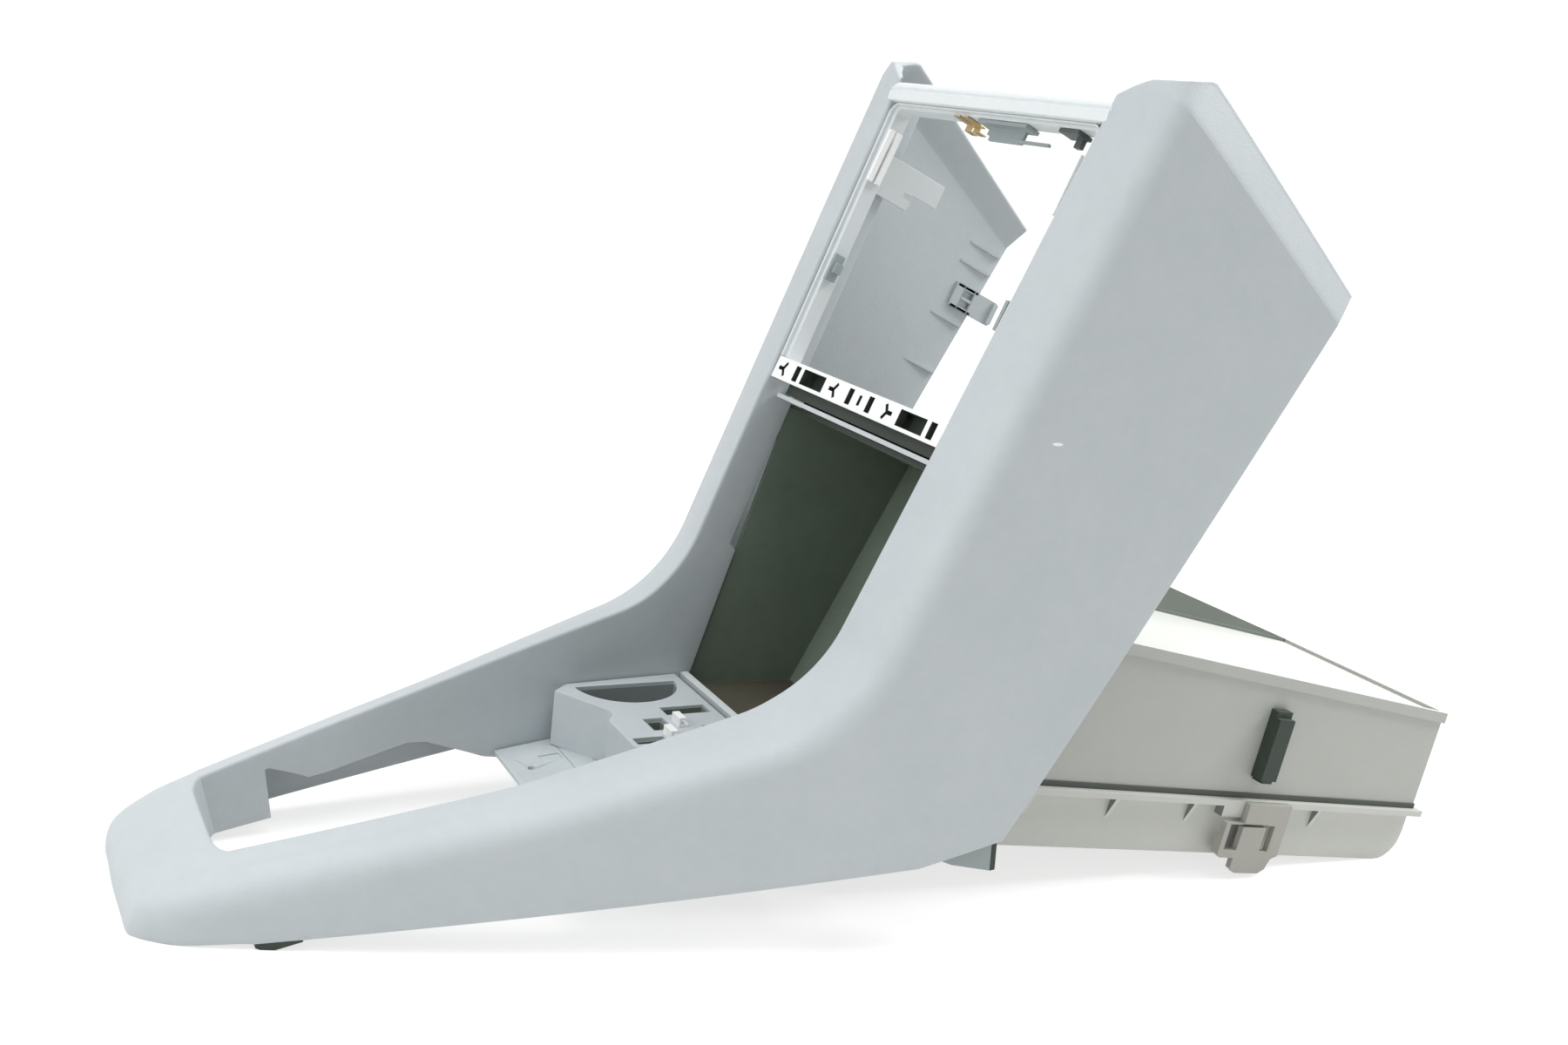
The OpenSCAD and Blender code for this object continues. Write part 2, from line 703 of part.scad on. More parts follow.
module floor_plate() {
    a = -carrier_x - plate_len;
    e = -carrier_x - seat;
    color([0.72, 0.75, 0.76])
        stand()
            translate([0, 0, plate_z])
                difference() {
                    linear_extrude(2.5)
                        polygon([[e, arm_half(e)], [a, arm_half(a)], [a, -arm_half(a)], [e, -arm_half(e)]]);
                    for (y = [-40, 40])
                        translate([a + 12, y, -1])
                            cylinder(d = screw_d, h = 5);
                    translate([a + 20, 46, 1.5])
                        cube([12, 7, 3]);
                }
}

// small fittings of the radio opening
clip_out = crown - 16;
module rail_spring_clips() {
    color([0.72, 0.60, 0.28])
        stand()
            for (y = [19, 27])
                in_tower(rail_h, clip_out)
                    translate([-frame_top - 2 * seat - 4.4, y, 0])
                        union() {
                            cube([4.4, 6, 0.8]);
                            translate([3.6, 0, -2.5])
                                cube([0.8, 6, 14]);
                            translate([0, 0, -5])
                                cube([0.8, 6, 5.8]);
                        }
}
module rail_bracket() {
    color([0.55, 0.60, 0.60])
        stand()
            in_tower(rail_h, clip_out)
                translate([-frame_top - 2 * seat, 0, 0])
                    union() {
                        translate([-2, -33, 0])
                            cube([2, 44, 10]);
                        translate([-9, -27, 2])
                            cube([7.2, 30, 2]);
                        translate([-9, -53, 4])
                            cube([1.6, 27, 2]);
                        translate([-6, 3, -6])
                            cube([5, 3, 10]);
                    }
}
module rail_prong() {
    color([0.30, 0.34, 0.33])
        stand()
            in_tower(rail_h, clip_out)
                translate([-frame_top - 2 * seat, 0, 0])
                    union() {
                        translate([-2, -77, 0])
                            cube([2, 16, 10]);
                        translate([-7, -75, 1])
                            cube([5.2, 5, 3]);
                    }
}
module side_clips() {
    w = tow_open(rail_h + 35) - frame_w - 1.2;
    color([0.94, 0.95, 0.95])
        stand()
            both_sides()
                in_tower(rail_h + 48, frame_out - 10.5)
                    for (z = [0, 5.6])
                        translate([0, w - 2.2, z])
                            cube([32, 2, 3.6]);
}
module side_brackets() {
    w = tow_open(rail_h + 52);
    color([0.76, 0.79, 0.80])
        stand()
            both_sides()
                in_tower(rail_h + 52, frame_out - frame_d - seat)
                    difference() {
                        union() {
                            translate([0, w - frame_w + 1, -24])
                                cube([24, 2, 24]);
                            translate([10, w - frame_w + 1, -42])
                                cube([14, 2, 19]);
                        }
                        translate([6, w - 10, -26])
                            cube([3, 20, 8]);
                    }
}
module rim_clips() {
    w = tow_open(rail_h + 111) - frame_w - 3 * seat;
    color([0.42, 0.47, 0.48])
        stand()
            both_sides()
                in_tower(rail_h + 110, frame_out - 9)
                    union() {
                        translate([0, w - 2.5, 0])
                            cube([16, 2.5, 7]);
                        translate([5, w - 4.5, 0])
                            cube([6, 2.5, 5]);
                    }
}

// feet
module nose_foot() {
    flat = foot_p + 6 * [cos(tilt), -sin(tilt)];
    color([0.22, 0.25, 0.24])
        stand()
            both_sides()
                intersection() {
                    across(-200, -40)
                        polygon([foot_p + [-2, 1], foot_p, flat, [-tip_x + 24, -0.8], [-tip_x + 24, 0],
                            [-tip_x + 4, 0]]);
                    translate([0, 0, -20])
                        linear_extrude(40)
                            polygon([[-tip_x, -half_w(-tip_x, 0)], [-tip_x + 30, -half_w(-tip_x + 30, 0)],
                                [-tip_x + 30, -half_w(-tip_x + 30, 0) + 12], [-tip_x, -half_w(-tip_x, 0) + 12]]);
                }
}
module heel_plan() {
    a = P_sole[0];
    b = heel_x + 4;
    ya = -half_w(a, 0) + wall + seat;
    yb = -half_w(b, 0) + wall + seat;
    polygon([[a, ya], [b, yb], [b, yb + 16], [a, ya + 16]]);
}
module heel_feet() {
    h = half_w(heel_x - 20, 0) - wall - seat;
    color([0.62, 0.66, 0.67])
        stand()
            both_sides()
                difference() {
                    intersection() {
                        across(-200, 0)
                            polygon([P_sole + [10, 2.5], P_sole + [20, -2.5], [heel_x - 4, -9], [heel_x - 4, heel_z],
                                P_sole + [12, 12]]);
                        translate([0, 0, -20])
                            linear_extrude(60)
                                heel_plan();
                    }
                    translate([heel_x - 16, -h + 8, -20])
                        cylinder(d = screw_d, h = 60);
                }
}
module heel_buffers() {
    h = half_w(heel_x - 4, 0) - wall - seat;
    color([0.20, 0.24, 0.22])
        stand()
            both_sides()
                translate([heel_x - 4, -h, -9])
                    cube([3, 16, 9 + heel_z]);
}

// rear housing, drawn along its own flange: s along it, t up from the flange
module in_house() {
    translate([house_end[0], 0, house_end[1]])
        rotate([0, house_slope, 0])
            children();
}
// turns a place of the console's profile into the housing's frame
function to_house(p) = [(p - house_end) * h_ax, (p - house_end) * h_up];
function turn(d) = [d * h_ax, d * h_up];
gasket_t = 3.5;
cut_p = to_house(grown(bin_poly, bin_wall)[2] - n_edge * -seat);
cut_d = turn(u_edge);
function left_at(t) = cross_at(cut_p, cut_d, [0, t], [1, 0]);
function rim_t(s) = house_h - s * tan(rim_rise);
rim_l = cross_at(cut_p, cut_d, [0, house_h], [-1, tan(rim_rise)]);
web_rise = 11.4;
web_l = cross_at(cut_p, cut_d, [0, house_h], [-1, tan(web_rise)]);
hw = house_w / 2;
module house_side(in, top) {
    l0 = left_at(gasket_t) + [in, 0];
    polygon([[-in, gasket_t - (in > 0 ? 5 : 0)], [-in, house_h - top], rim_l + [in, -top], left_at(gasket_t) + [in, 0],
        [left_at(gasket_t)[0] + in, gasket_t - (in > 0 ? 5 : 0)]]);
}
ear_t = [20, 62];
module housing_body() {
    color([0.68, 0.70, 0.67])
        stand()
            in_house()
                difference() {
                    union() {
                        across(-hw, hw)
                            house_side(0, 0);
                        across(-hw - 1.6, hw + 1.6)
                            polygon([[1.6, house_h - 7], [1.6, house_h], rim_l, rim_l - [0, 7] + [4, 0]]);
                        across(hw - house_wall, hw)
                            polygon([[0, house_h - 1], [0, house_h], web_l, rim_l - [0, 1]]);
                        for (t = ear_t)
                            ear(t);
                    }
                    across(-hw + house_wall, hw - house_wall)
                        house_side(house_wall, house_wall + 2);
                    across(-hw + 2, hw - house_wall - 0.5)
                        polygon([[-2, house_h - 2], [-2, house_h + 30], rim_l + [3, 30], rim_l + [3, -2]]);
                    for (t = ear_t)
                        both_sides()
                            ear_bore(t, screw_d, 40);
                }
}
module at_ear(t) {
    p = left_at(t);
    translate([p[0], 0, p[1]])
        rotate([0, -atan2(cut_d[1], cut_d[0]) + 180, 0])
            children();
}
module ear(t) {
    at_ear(t)
        translate([-7, -hw - 14, -4])
            cube([14, 2 * hw + 28, 4]);
}
module ear_bore(t, d, h) {
    at_ear(t)
        translate([0, -hw - 8, -h / 2])
            cylinder(d = d, h = h);
}
module housing_gasket() {
    l = max(left_at(0)[0], left_at(gasket_t)[0]);
    color([0.24, 0.27, 0.25])
        stand()
            in_house()
                difference() {
                    translate([l, -hw - 0.8, 0])
                        cube([-l + 0.8, 2 * hw + 1.6, gasket_t]);
                    translate([l + 6, -hw + 5, -1])
                        cube([-l - 11, 2 * hw - 10, 4]);
                }
}
// side outline of the pan with its rounded far corner
function pan_side(in, l) = concat([[-in, 0.5 - flange_t + (in > 0 ? 10 : 0)]],
    [for (a = [0:-15:-90]) [-pan_corner + (pan_corner - in) * cos(a), -pan_d + pan_corner + (pan_corner - in) * sin(a)]],
    [left_at(-pan_d + in) + [in, 0], [left_at(0)[0] + in, 0.5 - flange_t + (in > 0 ? 10 : 0)]]);
pan_in = 1.5;
rib_s = concat([-latch_s + latch_w / 2 + 33], [for (i = [0:2]) -latch_s - latch_w / 2 - 24 - i * rib_pitch]);
module housing_pan() {
    l = left_at(0)[0];
    color([0.70, 0.70, 0.68])
        stand()
            in_house()
                difference() {
                    union() {
                        translate([l, -hw - flange_out, -flange_t])
                            cube([-l + flange_out, 2 * (hw + flange_out), flange_t]);
                        across(-hw + pan_in, hw - pan_in)
                            polygon(pan_side(0, l));
                        both_sides()
                            for (s = rib_s)
                                translate([s - 1.5, 0, 0])
                                    rotate([0, 0, 0])
                                        gusset();
                        both_sides()
                            translate([-latch_s - latch_w / 2 - 2, -hw - flange_out, -11])
                                cube([latch_w + 4, flange_out + 2, 11]);
                    }
                    across(-hw + pan_in + house_wall, hw - pan_in - house_wall)
                        polygon(pan_side(house_wall, l));
                }
}
module gusset() {
    translate([0, -hw + pan_in, -flange_t])
        rotate([0, 90, 0])
            linear_extrude(3)
                polygon([[-0.5, 1], [-0.5, -pan_in - flange_out + 1], [14, 0], [14, 1]]);
}
// snap latch: a slotted plate hooked over the flange, with a chamfered pull tab
module latch(side) {
    w = latch_w;
    color([0.66, 0.67, 0.65])
        stand()
            in_house()
                mirror([0, side, 0])
                    translate([-latch_s, -hw - flange_out - seat, 0])
                        union() {
                            rotate([90, 0, 0])
                                linear_extrude(4)
                                    difference() {
                                        polygon([[-w / 2, -34], [-w / 2, -13], [-w / 2 + 15, -13], [-w / 2 + 15, -0.5],
                                            [w / 2, -0.5], [w / 2, -34], [w / 2 - 5, -36], [latch_mid + 15, -43],
                                            [latch_mid + 10, -latch_low], [latch_mid - 10, -latch_low],
                                            [latch_mid - 15, -43], [latch_mid - 15, -36], [-w / 2 + 3, -36]]);
                                        translate([-w / 2 + 4, -31])
                                            square([11, 17]);
                                        translate([w / 2 - 17, -31])
                                            square([7, 17]);
                                        translate([-w / 2 + 14, -15.5])
                                            square([w - 30, 2]);
                                    }
                            translate([-w / 2 + 16, -0.5, -13.2])
                                cube([w - 18, 4, 2]);
                            translate([-w / 2, -4, -34])
                                cube([4, 6, 12]);
                            translate([w / 2 - 6, -4, -34])
                                cube([6, 6, 12]);
                        }
}
latch_mid = 3.5;
latch_low = 46;
module pan_latch_near() { latch(0); }
module pan_latch_far() { latch(1); }
module side_stop() {
    color([0.20, 0.23, 0.20])
        stand()
            in_house()
                translate([-latch_s - 9, -hw - 9 - seat, 15])
                    union() {
                        cube([13, 9, 40]);
                        translate([0, 3.5, 38])
                            cube([13, 5.5, 6]);
                        translate([2, 1, -2])
                            cube([9, 8, 3]);
                    }
}
module housing_screws() {
    color([0.55, 0.56, 0.55])
        stand()
            in_house()
                both_sides()
                    for (t = ear_t)
                        at_ear(t)
                            translate([0, -hw - 8, 0])
                                union() {
                                    translate([0, 0, -7])
                                        cylinder(d = screw_d * 2, h = 3);
                                    translate([0, 0, -5])
                                        cylinder(d = screw_d - 0.5, h = 5 - seat);
                                }
}

console_shell();
radio_frame();
crossbar();
trim_bar();
bin_liner();
bin_sill();
insert_carrier();
pocket_liners();
socket_blocks();
carrier_clips();
floor_plate();
rail_spring_clips();
rail_bracket();
rail_prong();
side_clips();
side_brackets();
rim_clips();
nose_foot();
heel_feet();
heel_buffers();
housing_body();
housing_gasket();
housing_pan();
pan_latch_near();
pan_latch_far();
side_stop();
housing_screws();
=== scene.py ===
# %% [markdown]
# # A bare vehicle center console
# The real thing is one large thin moulding: a low arm that points at the viewer's left, a knee, and
# a leaning tower with the opening for a radio. A dark bin fills the tower's lower half, a small
# carrier with two pockets sits in the arm, and a duct housing is hooked on behind. The packed
# model gives every solid in one frame, in metres, and this file dresses it.

# %% Load the frame
import bpy
import bmesh
import numpy as np
from mathutils import Matrix, Vector


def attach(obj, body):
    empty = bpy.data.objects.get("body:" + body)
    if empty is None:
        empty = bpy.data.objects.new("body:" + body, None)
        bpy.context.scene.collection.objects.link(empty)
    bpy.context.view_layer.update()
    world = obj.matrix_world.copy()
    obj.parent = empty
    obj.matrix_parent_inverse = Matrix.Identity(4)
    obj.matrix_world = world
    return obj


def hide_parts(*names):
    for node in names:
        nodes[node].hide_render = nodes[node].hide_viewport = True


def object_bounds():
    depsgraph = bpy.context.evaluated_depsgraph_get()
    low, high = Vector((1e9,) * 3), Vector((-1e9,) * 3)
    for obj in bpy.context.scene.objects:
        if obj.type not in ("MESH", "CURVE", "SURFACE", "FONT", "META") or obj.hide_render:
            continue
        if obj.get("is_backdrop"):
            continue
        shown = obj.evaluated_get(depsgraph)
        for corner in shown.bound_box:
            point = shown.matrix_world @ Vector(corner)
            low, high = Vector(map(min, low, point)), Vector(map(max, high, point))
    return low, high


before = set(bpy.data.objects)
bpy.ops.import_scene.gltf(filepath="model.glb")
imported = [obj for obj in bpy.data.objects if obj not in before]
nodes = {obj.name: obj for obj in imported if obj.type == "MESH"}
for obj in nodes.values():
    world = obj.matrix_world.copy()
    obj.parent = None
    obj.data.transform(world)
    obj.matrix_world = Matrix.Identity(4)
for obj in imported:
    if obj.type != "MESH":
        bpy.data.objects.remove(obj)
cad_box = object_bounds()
print("CAD box in metres:", [round(v, 3) for c in cad_box for v in c])

# %% [markdown]
# ## Two frames
# The console was measured with its straight sole lying level, in millimetres, with X from the nose
# to the housing. On the ground it leans back on the end of its rear pan. One turn about Y and one
# shift take every measured point to the row frame, so the same numbers serve the camera and all
# new surfaces.

# %% Measured sizes of the console, in millimetres
TIP, WAIST, KNEE = np.array([-262, 27.5]), np.array([-137, 47.5]), np.array([14, 79])
TOP, BACK, HEEL, SOLE = (np.array(p, float) for p in ([160, 377], [270, 270], [100, 9], [54, 0]))
TIP_W, MID_W, BACK_W, DRAFT = 134, 239, 295, np.radians(0.35)
WALL, CROWN, SHOULDER_R, EDGE_R = 3.0, 8.0, 13.0, 3.0
SKIRT_D, SKIRT_T, NOSE_LEN = 24.0, 2.5, 45.0
RAIL_H, RADIO_H, BAR_H, TRIM_GAP, TRIM_H, SEAT = 17, 161, 13, 7, 2.4, 0.3
BIN_WALL_T, SILL_STEP = 2.5, 2.9
print("side view from x %d to %d mm, %d mm wide at the back" % (TIP[0] - NOSE_LEN, BACK[0], BACK_W))


def unit(v):
    """Vectors along the last axis divided by their lengths."""
    return v / np.linalg.norm(v, axis=-1, keepdims=True)


def left(v):
    """The plane vector turned a quarter turn to the left: (x, z) becomes (-z, x)."""
    return np.stack([-v[..., 1], v[..., 0]], -1)


# %% From the console's frame to the row frame
SLOPE, HOUSE_H, PAN_D = np.radians(13.6), 68, 38
FOOT, HOUSE_END = np.array([TIP[0] + 6, -3]), np.array([480.0, -75.0])
H_ALONG = np.array([np.cos(SLOPE), -np.sin(SLOPE)])
H_UP = np.array([np.sin(SLOPE), np.cos(SLOPE)])
PAN_EDGE = HOUSE_END - 20 * H_ALONG - PAN_D * H_UP
TILT = np.arctan2(FOOT[1] - PAN_EDGE[1], PAN_EDGE[0] - FOOT[0])
TURN = np.array([[np.cos(TILT), 0, -np.sin(TILT)], [0, 1, 0], [np.sin(TILT), 0, np.cos(TILT)]])


def stood(x, z):
    """Place in the side view after the tilt, before the shift."""
    return TURN @ np.array([x, 0, z])


LIFT = -stood(*FOOT)[2]
RIM_END = HOUSE_END + 1.6 * H_ALONG + HOUSE_H * H_UP
SHIFT = -(stood(TIP[0] - NOSE_LEN, TIP[1] - 8)[0] + stood(*RIM_END)[0]) / 2


def to_row(points):
    """Console millimetres to row metres: turned by the tilt about Y, then shifted and lifted."""
    return (np.asarray(points, float) @ TURN.T + np.array([SHIFT, 0, LIFT])) / 1000


print("tilt %.3f deg, shift %.2f mm, lift %.2f mm" % (np.degrees(TILT), SHIFT, LIFT))

# %% [markdown]
# ## Camera
# The camera was solved from straight edges of the console: its place, its three angles and its
# focal length of 1850 pixels on an image 1800 pixels wide, which is 37 mm on a 36 mm sensor.
# The picture's middle is the lens axis, so no shift is needed.

# %% Camera at the photograph's place
FOCAL_PX, IMAGE_PX, SENSOR_MM = 1849.9, 1800, 36
YAW, PITCH, ROLL = np.radians(28.345), np.radians(16.802), np.radians(-2.62)
CAMERA_PLACE = to_row([-357.43, -729.68, 397.70])
forward = np.array([np.sin(YAW) * np.cos(PITCH), np.cos(YAW) * np.cos(PITCH), -np.sin(PITCH)])
level = np.array([np.cos(YAW), -np.sin(YAW), 0.0])
under = np.cross(forward, level)
right = level * np.cos(ROLL) + under * np.sin(ROLL)
below = under * np.cos(ROLL) - level * np.sin(ROLL)
cam = bpy.data.objects.new("camera", bpy.data.cameras.new("camera"))
bpy.context.collection.objects.link(cam)
cam.data.sensor_width = SENSOR_MM
cam.data.lens = FOCAL_PX / IMAGE_PX * SENSOR_MM
cam.data.clip_start, cam.data.clip_end = 0.01, 100
axes = np.stack([TURN @ right, TURN @ -below, TURN @ -forward], 1)
cam.matrix_world = Matrix(np.vstack([np.column_stack([axes, CAMERA_PLACE]), [0, 0, 0, 1]]).tolist())
bpy.context.scene.camera = cam
bpy.context.scene.view_settings.view_transform = "Standard"
print("camera at", [round(v, 3) for v in cam.location], "lens %.1f mm" % cam.data.lens)

# %% [markdown]
# ## Light and floor
# The console was photographed on white under broad soft light, and nearly all shadow is gone. Its
# upward surfaces are the palest, the near wall is an even mid tone, and the rear housing's side and
# the nose are lit as well. Four soft lamps give that: a large one overhead, a weak one at the left
# that fills the bands, one at the upper right that grazes the near wall and lights the housing, and
# a small one before the nose. The world fills the rest. Each lamp was rendered alone, and because
# light adds up, their strengths could be fitted to the tones of named places in the photograph.
#
# The floor is white paper. The camera and reflections see it as white with only a weak shadow, so
# it meets the white room without a horizon: its glow rises with the distance from the middle.


# %% Helpers for colour and nodes
def linear(code):
    """sRGB hex to linear RGBA: v / 12.92 below 0.04045, else ((v + 0.055) / 1.055) to the power 2.4."""
    v = np.array([int(code[i:i + 2], 16) for i in (1, 3, 5)]) / 255
    v = np.where(v <= 0.04045, v / 12.92, ((v + 0.055) / 1.055) ** 2.4)
    return (*v.tolist(), 1.0)


def add(tree, kind, settings=None, **sockets):
    """Adds one node. Settings are its properties. Sockets are its inputs, by name with _ for a space
    or by number after an i, and each is a value or another node's output."""
    made = tree.nodes.new(kind)
    for key, value in (settings or {}).items():
        setattr(made, key, value)
    for key, value in sockets.items():
        key = int(key[1:]) if key[0] == "i" and key[1:].isdigit() else key.replace("_", " ")
        if isinstance(value, bpy.types.NodeSocket):
            tree.links.new(value, made.inputs[key])
        else:
            made.inputs[key].default_value = value
    return made


def blank(name):
    """A new material with an empty node tree."""
    mat = bpy.data.materials.new(name)
    mat.use_nodes = True
    mat.node_tree.nodes.clear()
    return mat


def seen_or_mirrored(tree):
    """1 for rays from the camera and from glossy surfaces, the greater of the two, else 0."""
    ray = add(tree, "ShaderNodeLightPath")
    return add(tree, "ShaderNodeMath", {"operation": "MAXIMUM"},
               i0=ray.outputs["Is Camera Ray"], i1=ray.outputs["Is Glossy Ray"])


print("helpers ready")

# %% World: soft grey light, white to the camera
ROOM_LIGHT, ROOM_SHOWN = 0.38, 1.05
world = bpy.data.worlds.new("white room")
bpy.context.scene.world = world
world.use_nodes = True
wt = world.node_tree
wt.nodes.clear()
seen = seen_or_mirrored(wt)
light = add(wt, "ShaderNodeBackground", Color=linear("#F4F5F6"), Strength=ROOM_LIGHT)
white = add(wt, "ShaderNodeBackground", Color=(1, 1, 1, 1), Strength=ROOM_SHOWN)
both = add(wt, "ShaderNodeMixShader", i0=seen.outputs[0], i1=light.outputs[0], i2=white.outputs[0])
add(wt, "ShaderNodeOutputWorld", Surface=both.outputs[0])
print("world made")


# %% Area lamps
def area_lamp(name, place, target, size, power):
    """A square soft lamp at a place, facing a target; size is its side in metres, power is in watts."""
    data = bpy.data.lights.new(name, "AREA")
    data.size, data.energy = size, power
    lamp = bpy.data.objects.new(name, data)
    bpy.context.collection.objects.link(lamp)
    lamp.location = place
    lamp.rotation_euler = (Vector(target) - Vector(place)).to_track_quat("-Z", "Y").to_euler()


for name, place, target, size, power in (
        ("left lamp", (-2.2, -0.6, 1.4), (0, 0, 0.2), 1.4, 11.5),
        ("grazing right lamp", (2.0, -0.4, 1.9), (0, 0, 0.25), 0.9, 47),
        ("overhead lamp", (-0.2, -0.1, 2.6), (0, 0, 0.1), 2.0, 40),
        ("nose lamp", (-0.98, 0.02, 0.5), (-0.4, 0, 0.06), 0.4, 1.8)):
    area_lamp(name, place, target, size, power)
print("four lamps made")

# %% Floor
FLOOR_HALF, DIM_PAPER = 8, (0.40, 0.40, 0.395, 1)
GLOW_NEAR, GLOW_FAR, GLOW_LOW, GLOW_FULL = 0.5, 2.0, 0.72, 1.05
floor_mat = blank("white sweep paper")
ft = floor_mat.node_tree
paper = add(ft, "ShaderNodeBsdfDiffuse", Color=linear("#F4F4F2"))
dim = add(ft, "ShaderNodeBsdfDiffuse", Color=DIM_PAPER)
place = add(ft, "ShaderNodeNewGeometry").outputs["Position"]
far_off = add(ft, "ShaderNodeVectorMath", {"operation": "LENGTH"}, i0=place)
rise = add(ft, "ShaderNodeMapRange", Value=far_off.outputs["Value"],
           From_Min=GLOW_NEAR, From_Max=GLOW_FAR, To_Min=GLOW_LOW, To_Max=GLOW_FULL)
glow = add(ft, "ShaderNodeEmission", Color=(1, 1, 1, 1), Strength=rise.outputs[0])
shown = add(ft, "ShaderNodeAddShader", i0=dim.outputs[0], i1=glow.outputs[0])
seen = seen_or_mirrored(ft)
pick = add(ft, "ShaderNodeMixShader", i0=seen.outputs[0], i1=paper.outputs[0], i2=shown.outputs[0])
add(ft, "ShaderNodeOutputMaterial", Surface=pick.outputs[0])
floor_mesh = bpy.data.meshes.new("floor")
floor_mesh.from_pydata([(x * FLOOR_HALF, y * FLOOR_HALF, 0) for x, y in ((-1, -1), (1, -1), (1, 1), (-1, 1))],
                       [], [(0, 1, 2, 3)])
floor = bpy.data.objects.new("floor", floor_mesh)
floor_mesh.materials.append(floor_mat)
bpy.context.collection.objects.link(floor)
floor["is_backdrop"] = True
print("floor made")

# %% [markdown]
# ## Moulded plastics
# Nearly every piece is injection-moulded plastic. Polypropylene and ABS come out of the mould with
# a fine even grain and a soft sheen, a slight mottling where the melt cooled unevenly, and faint
# scuffs. One function builds that finish, and each piece gets its own colour, grain and wear. Both
# of its colours come from the photograph: the tone itself, and a deeper one for the clouds.


# %% The moulded finish
CLOUD_MM, SPECK_MM, SPECK_SHARE = 45.0, 7, 0.35
SCUFF_FROM, SCUFF_TO, SCUFF_STRETCH, SCUFF_TURN = 0.62, 0.74, (30, 260, 900), (0.3, 0.7, 0.2)
SPECK_SHIFT, SHEEN_DRIFT = -0.17, 0.06


def moulded(name, colour, deep, grain_mm, bump, rough, mottle=0.5, scuff=0.0):
    """Moulded plastic. Its colour drifts to deep by mottle times a cloud noise plus a share of a speck
    noise; its bump has grains grain_mm wide; scuff is the strength of pale drawn scratches."""
    mat = blank(name)
    t = mat.node_tree
    place = add(t, "ShaderNodeTexCoord").outputs["Object"]
    cloud = add(t, "ShaderNodeTexNoise", Vector=place, Scale=1000 / CLOUD_MM, Detail=3.0, Roughness=0.55)
    speck = add(t, "ShaderNodeTexNoise", Vector=place, Scale=1000 / SPECK_MM, Detail=2.0)
    amount = add(t, "ShaderNodeMath", {"operation": "MULTIPLY_ADD"},
                 i0=speck.outputs["Fac"], i1=SPECK_SHARE, i2=SPECK_SHIFT)
    total = add(t, "ShaderNodeMath", {"operation": "MULTIPLY_ADD"},
                i0=cloud.outputs["Fac"], i1=mottle, i2=amount.outputs[0])
    tint = add(t, "ShaderNodeMix", {"data_type": "RGBA"},
               i0=total.outputs[0], A=linear(colour), B=linear(deep))
    colour_out = tint.outputs["Result"]
    if scuff:
        streak = add(t, "ShaderNodeMapping", Vector=place, Scale=SCUFF_STRETCH, Rotation=SCUFF_TURN)
        lines = add(t, "ShaderNodeTexNoise", Vector=streak.outputs[0], Scale=1.0, Detail=4.0, Roughness=0.7)
        mask = add(t, "ShaderNodeMapRange", Value=lines.outputs["Fac"],
                   From_Min=SCUFF_FROM, From_Max=SCUFF_TO, To_Max=scuff)
        worn = add(t, "ShaderNodeMix", {"data_type": "RGBA"},
                   i0=mask.outputs[0], A=colour_out, B=linear("#DDE1E2"))
        colour_out = worn.outputs["Result"]
    grain = add(t, "ShaderNodeTexNoise", Vector=place, Scale=1000 / grain_mm, Detail=2.0, Roughness=0.5)
    relief = add(t, "ShaderNodeBump", Strength=bump, Distance=0.0003, Height=grain.outputs["Fac"])
    sheen = add(t, "ShaderNodeMapRange", Value=cloud.outputs["Fac"],
                To_Min=rough - SHEEN_DRIFT, To_Max=rough + SHEEN_DRIFT)
    shader = add(t, "ShaderNodeBsdfPrincipled", Base_Color=colour_out, Roughness=sheen.outputs[0],
                 Normal=relief.outputs[0], IOR=1.48, Specular_IOR_Level=0.4)
    add(t, "ShaderNodeOutputMaterial", Surface=shader.outputs[0])
    return mat


SHELL = moulded("grained polypropylene, moulded cool grey",
                "#C2C8CB", "#AFB8BB", 1.3, 0.35, 0.52, scuff=0.12)
# Painted highlight: the shell's grey made paler for the top rail, whose upward faces the light burns almost
# white.
PALE_PAINTED_LIGHT = moulded("grained polypropylene, moulded cool grey and sun bleached",
               "#E6EBEC", "#DADFE1", 1.3, 0.3, 0.48)
FRAME = moulded("ABS, moulded pale grey", "#D6DBDC", "#C9CFD0", 1.0, 0.15, 0.42)
WHITE = moulded("ABS, moulded off-white", "#F7F8F7", "#EDEFEE", 1.0, 0.12, 0.40)
BIN_WALL = moulded("polypropylene, moulded dark green-grey and dusty",
                   "#828F83", "#6C7769", 1.2, 0.35, 0.55, mottle=0.9)
BIN_FLOOR = moulded("polypropylene, moulded dark and stained brown",
                    "#625F52", "#4D4B41", 1.2, 0.35, 0.6, mottle=0.8)
BIN_RIM = moulded("polypropylene, moulded dark green-grey", "#2E3730", "#252C27", 1.2, 0.3, 0.5)
WARM = moulded("filled polypropylene, moulded warm grey", "#B4B7B1", "#A8ABA5", 1.2, 0.25, 0.50)
WARM_PAN = moulded("filled polypropylene, moulded light warm grey",
                   "#C8C9C4", "#BBBDB7", 1.2, 0.25, 0.50)
# Painted highlight: the housing's warm grey made paler for its upward top, which the light burns almost
# white.
WARM_PAINTED_HIGHLIGHT = moulded("filled polypropylene, moulded and faded pale", "#DEE0DB", "#D2D5CF", 1.2, 0.2, 0.42)
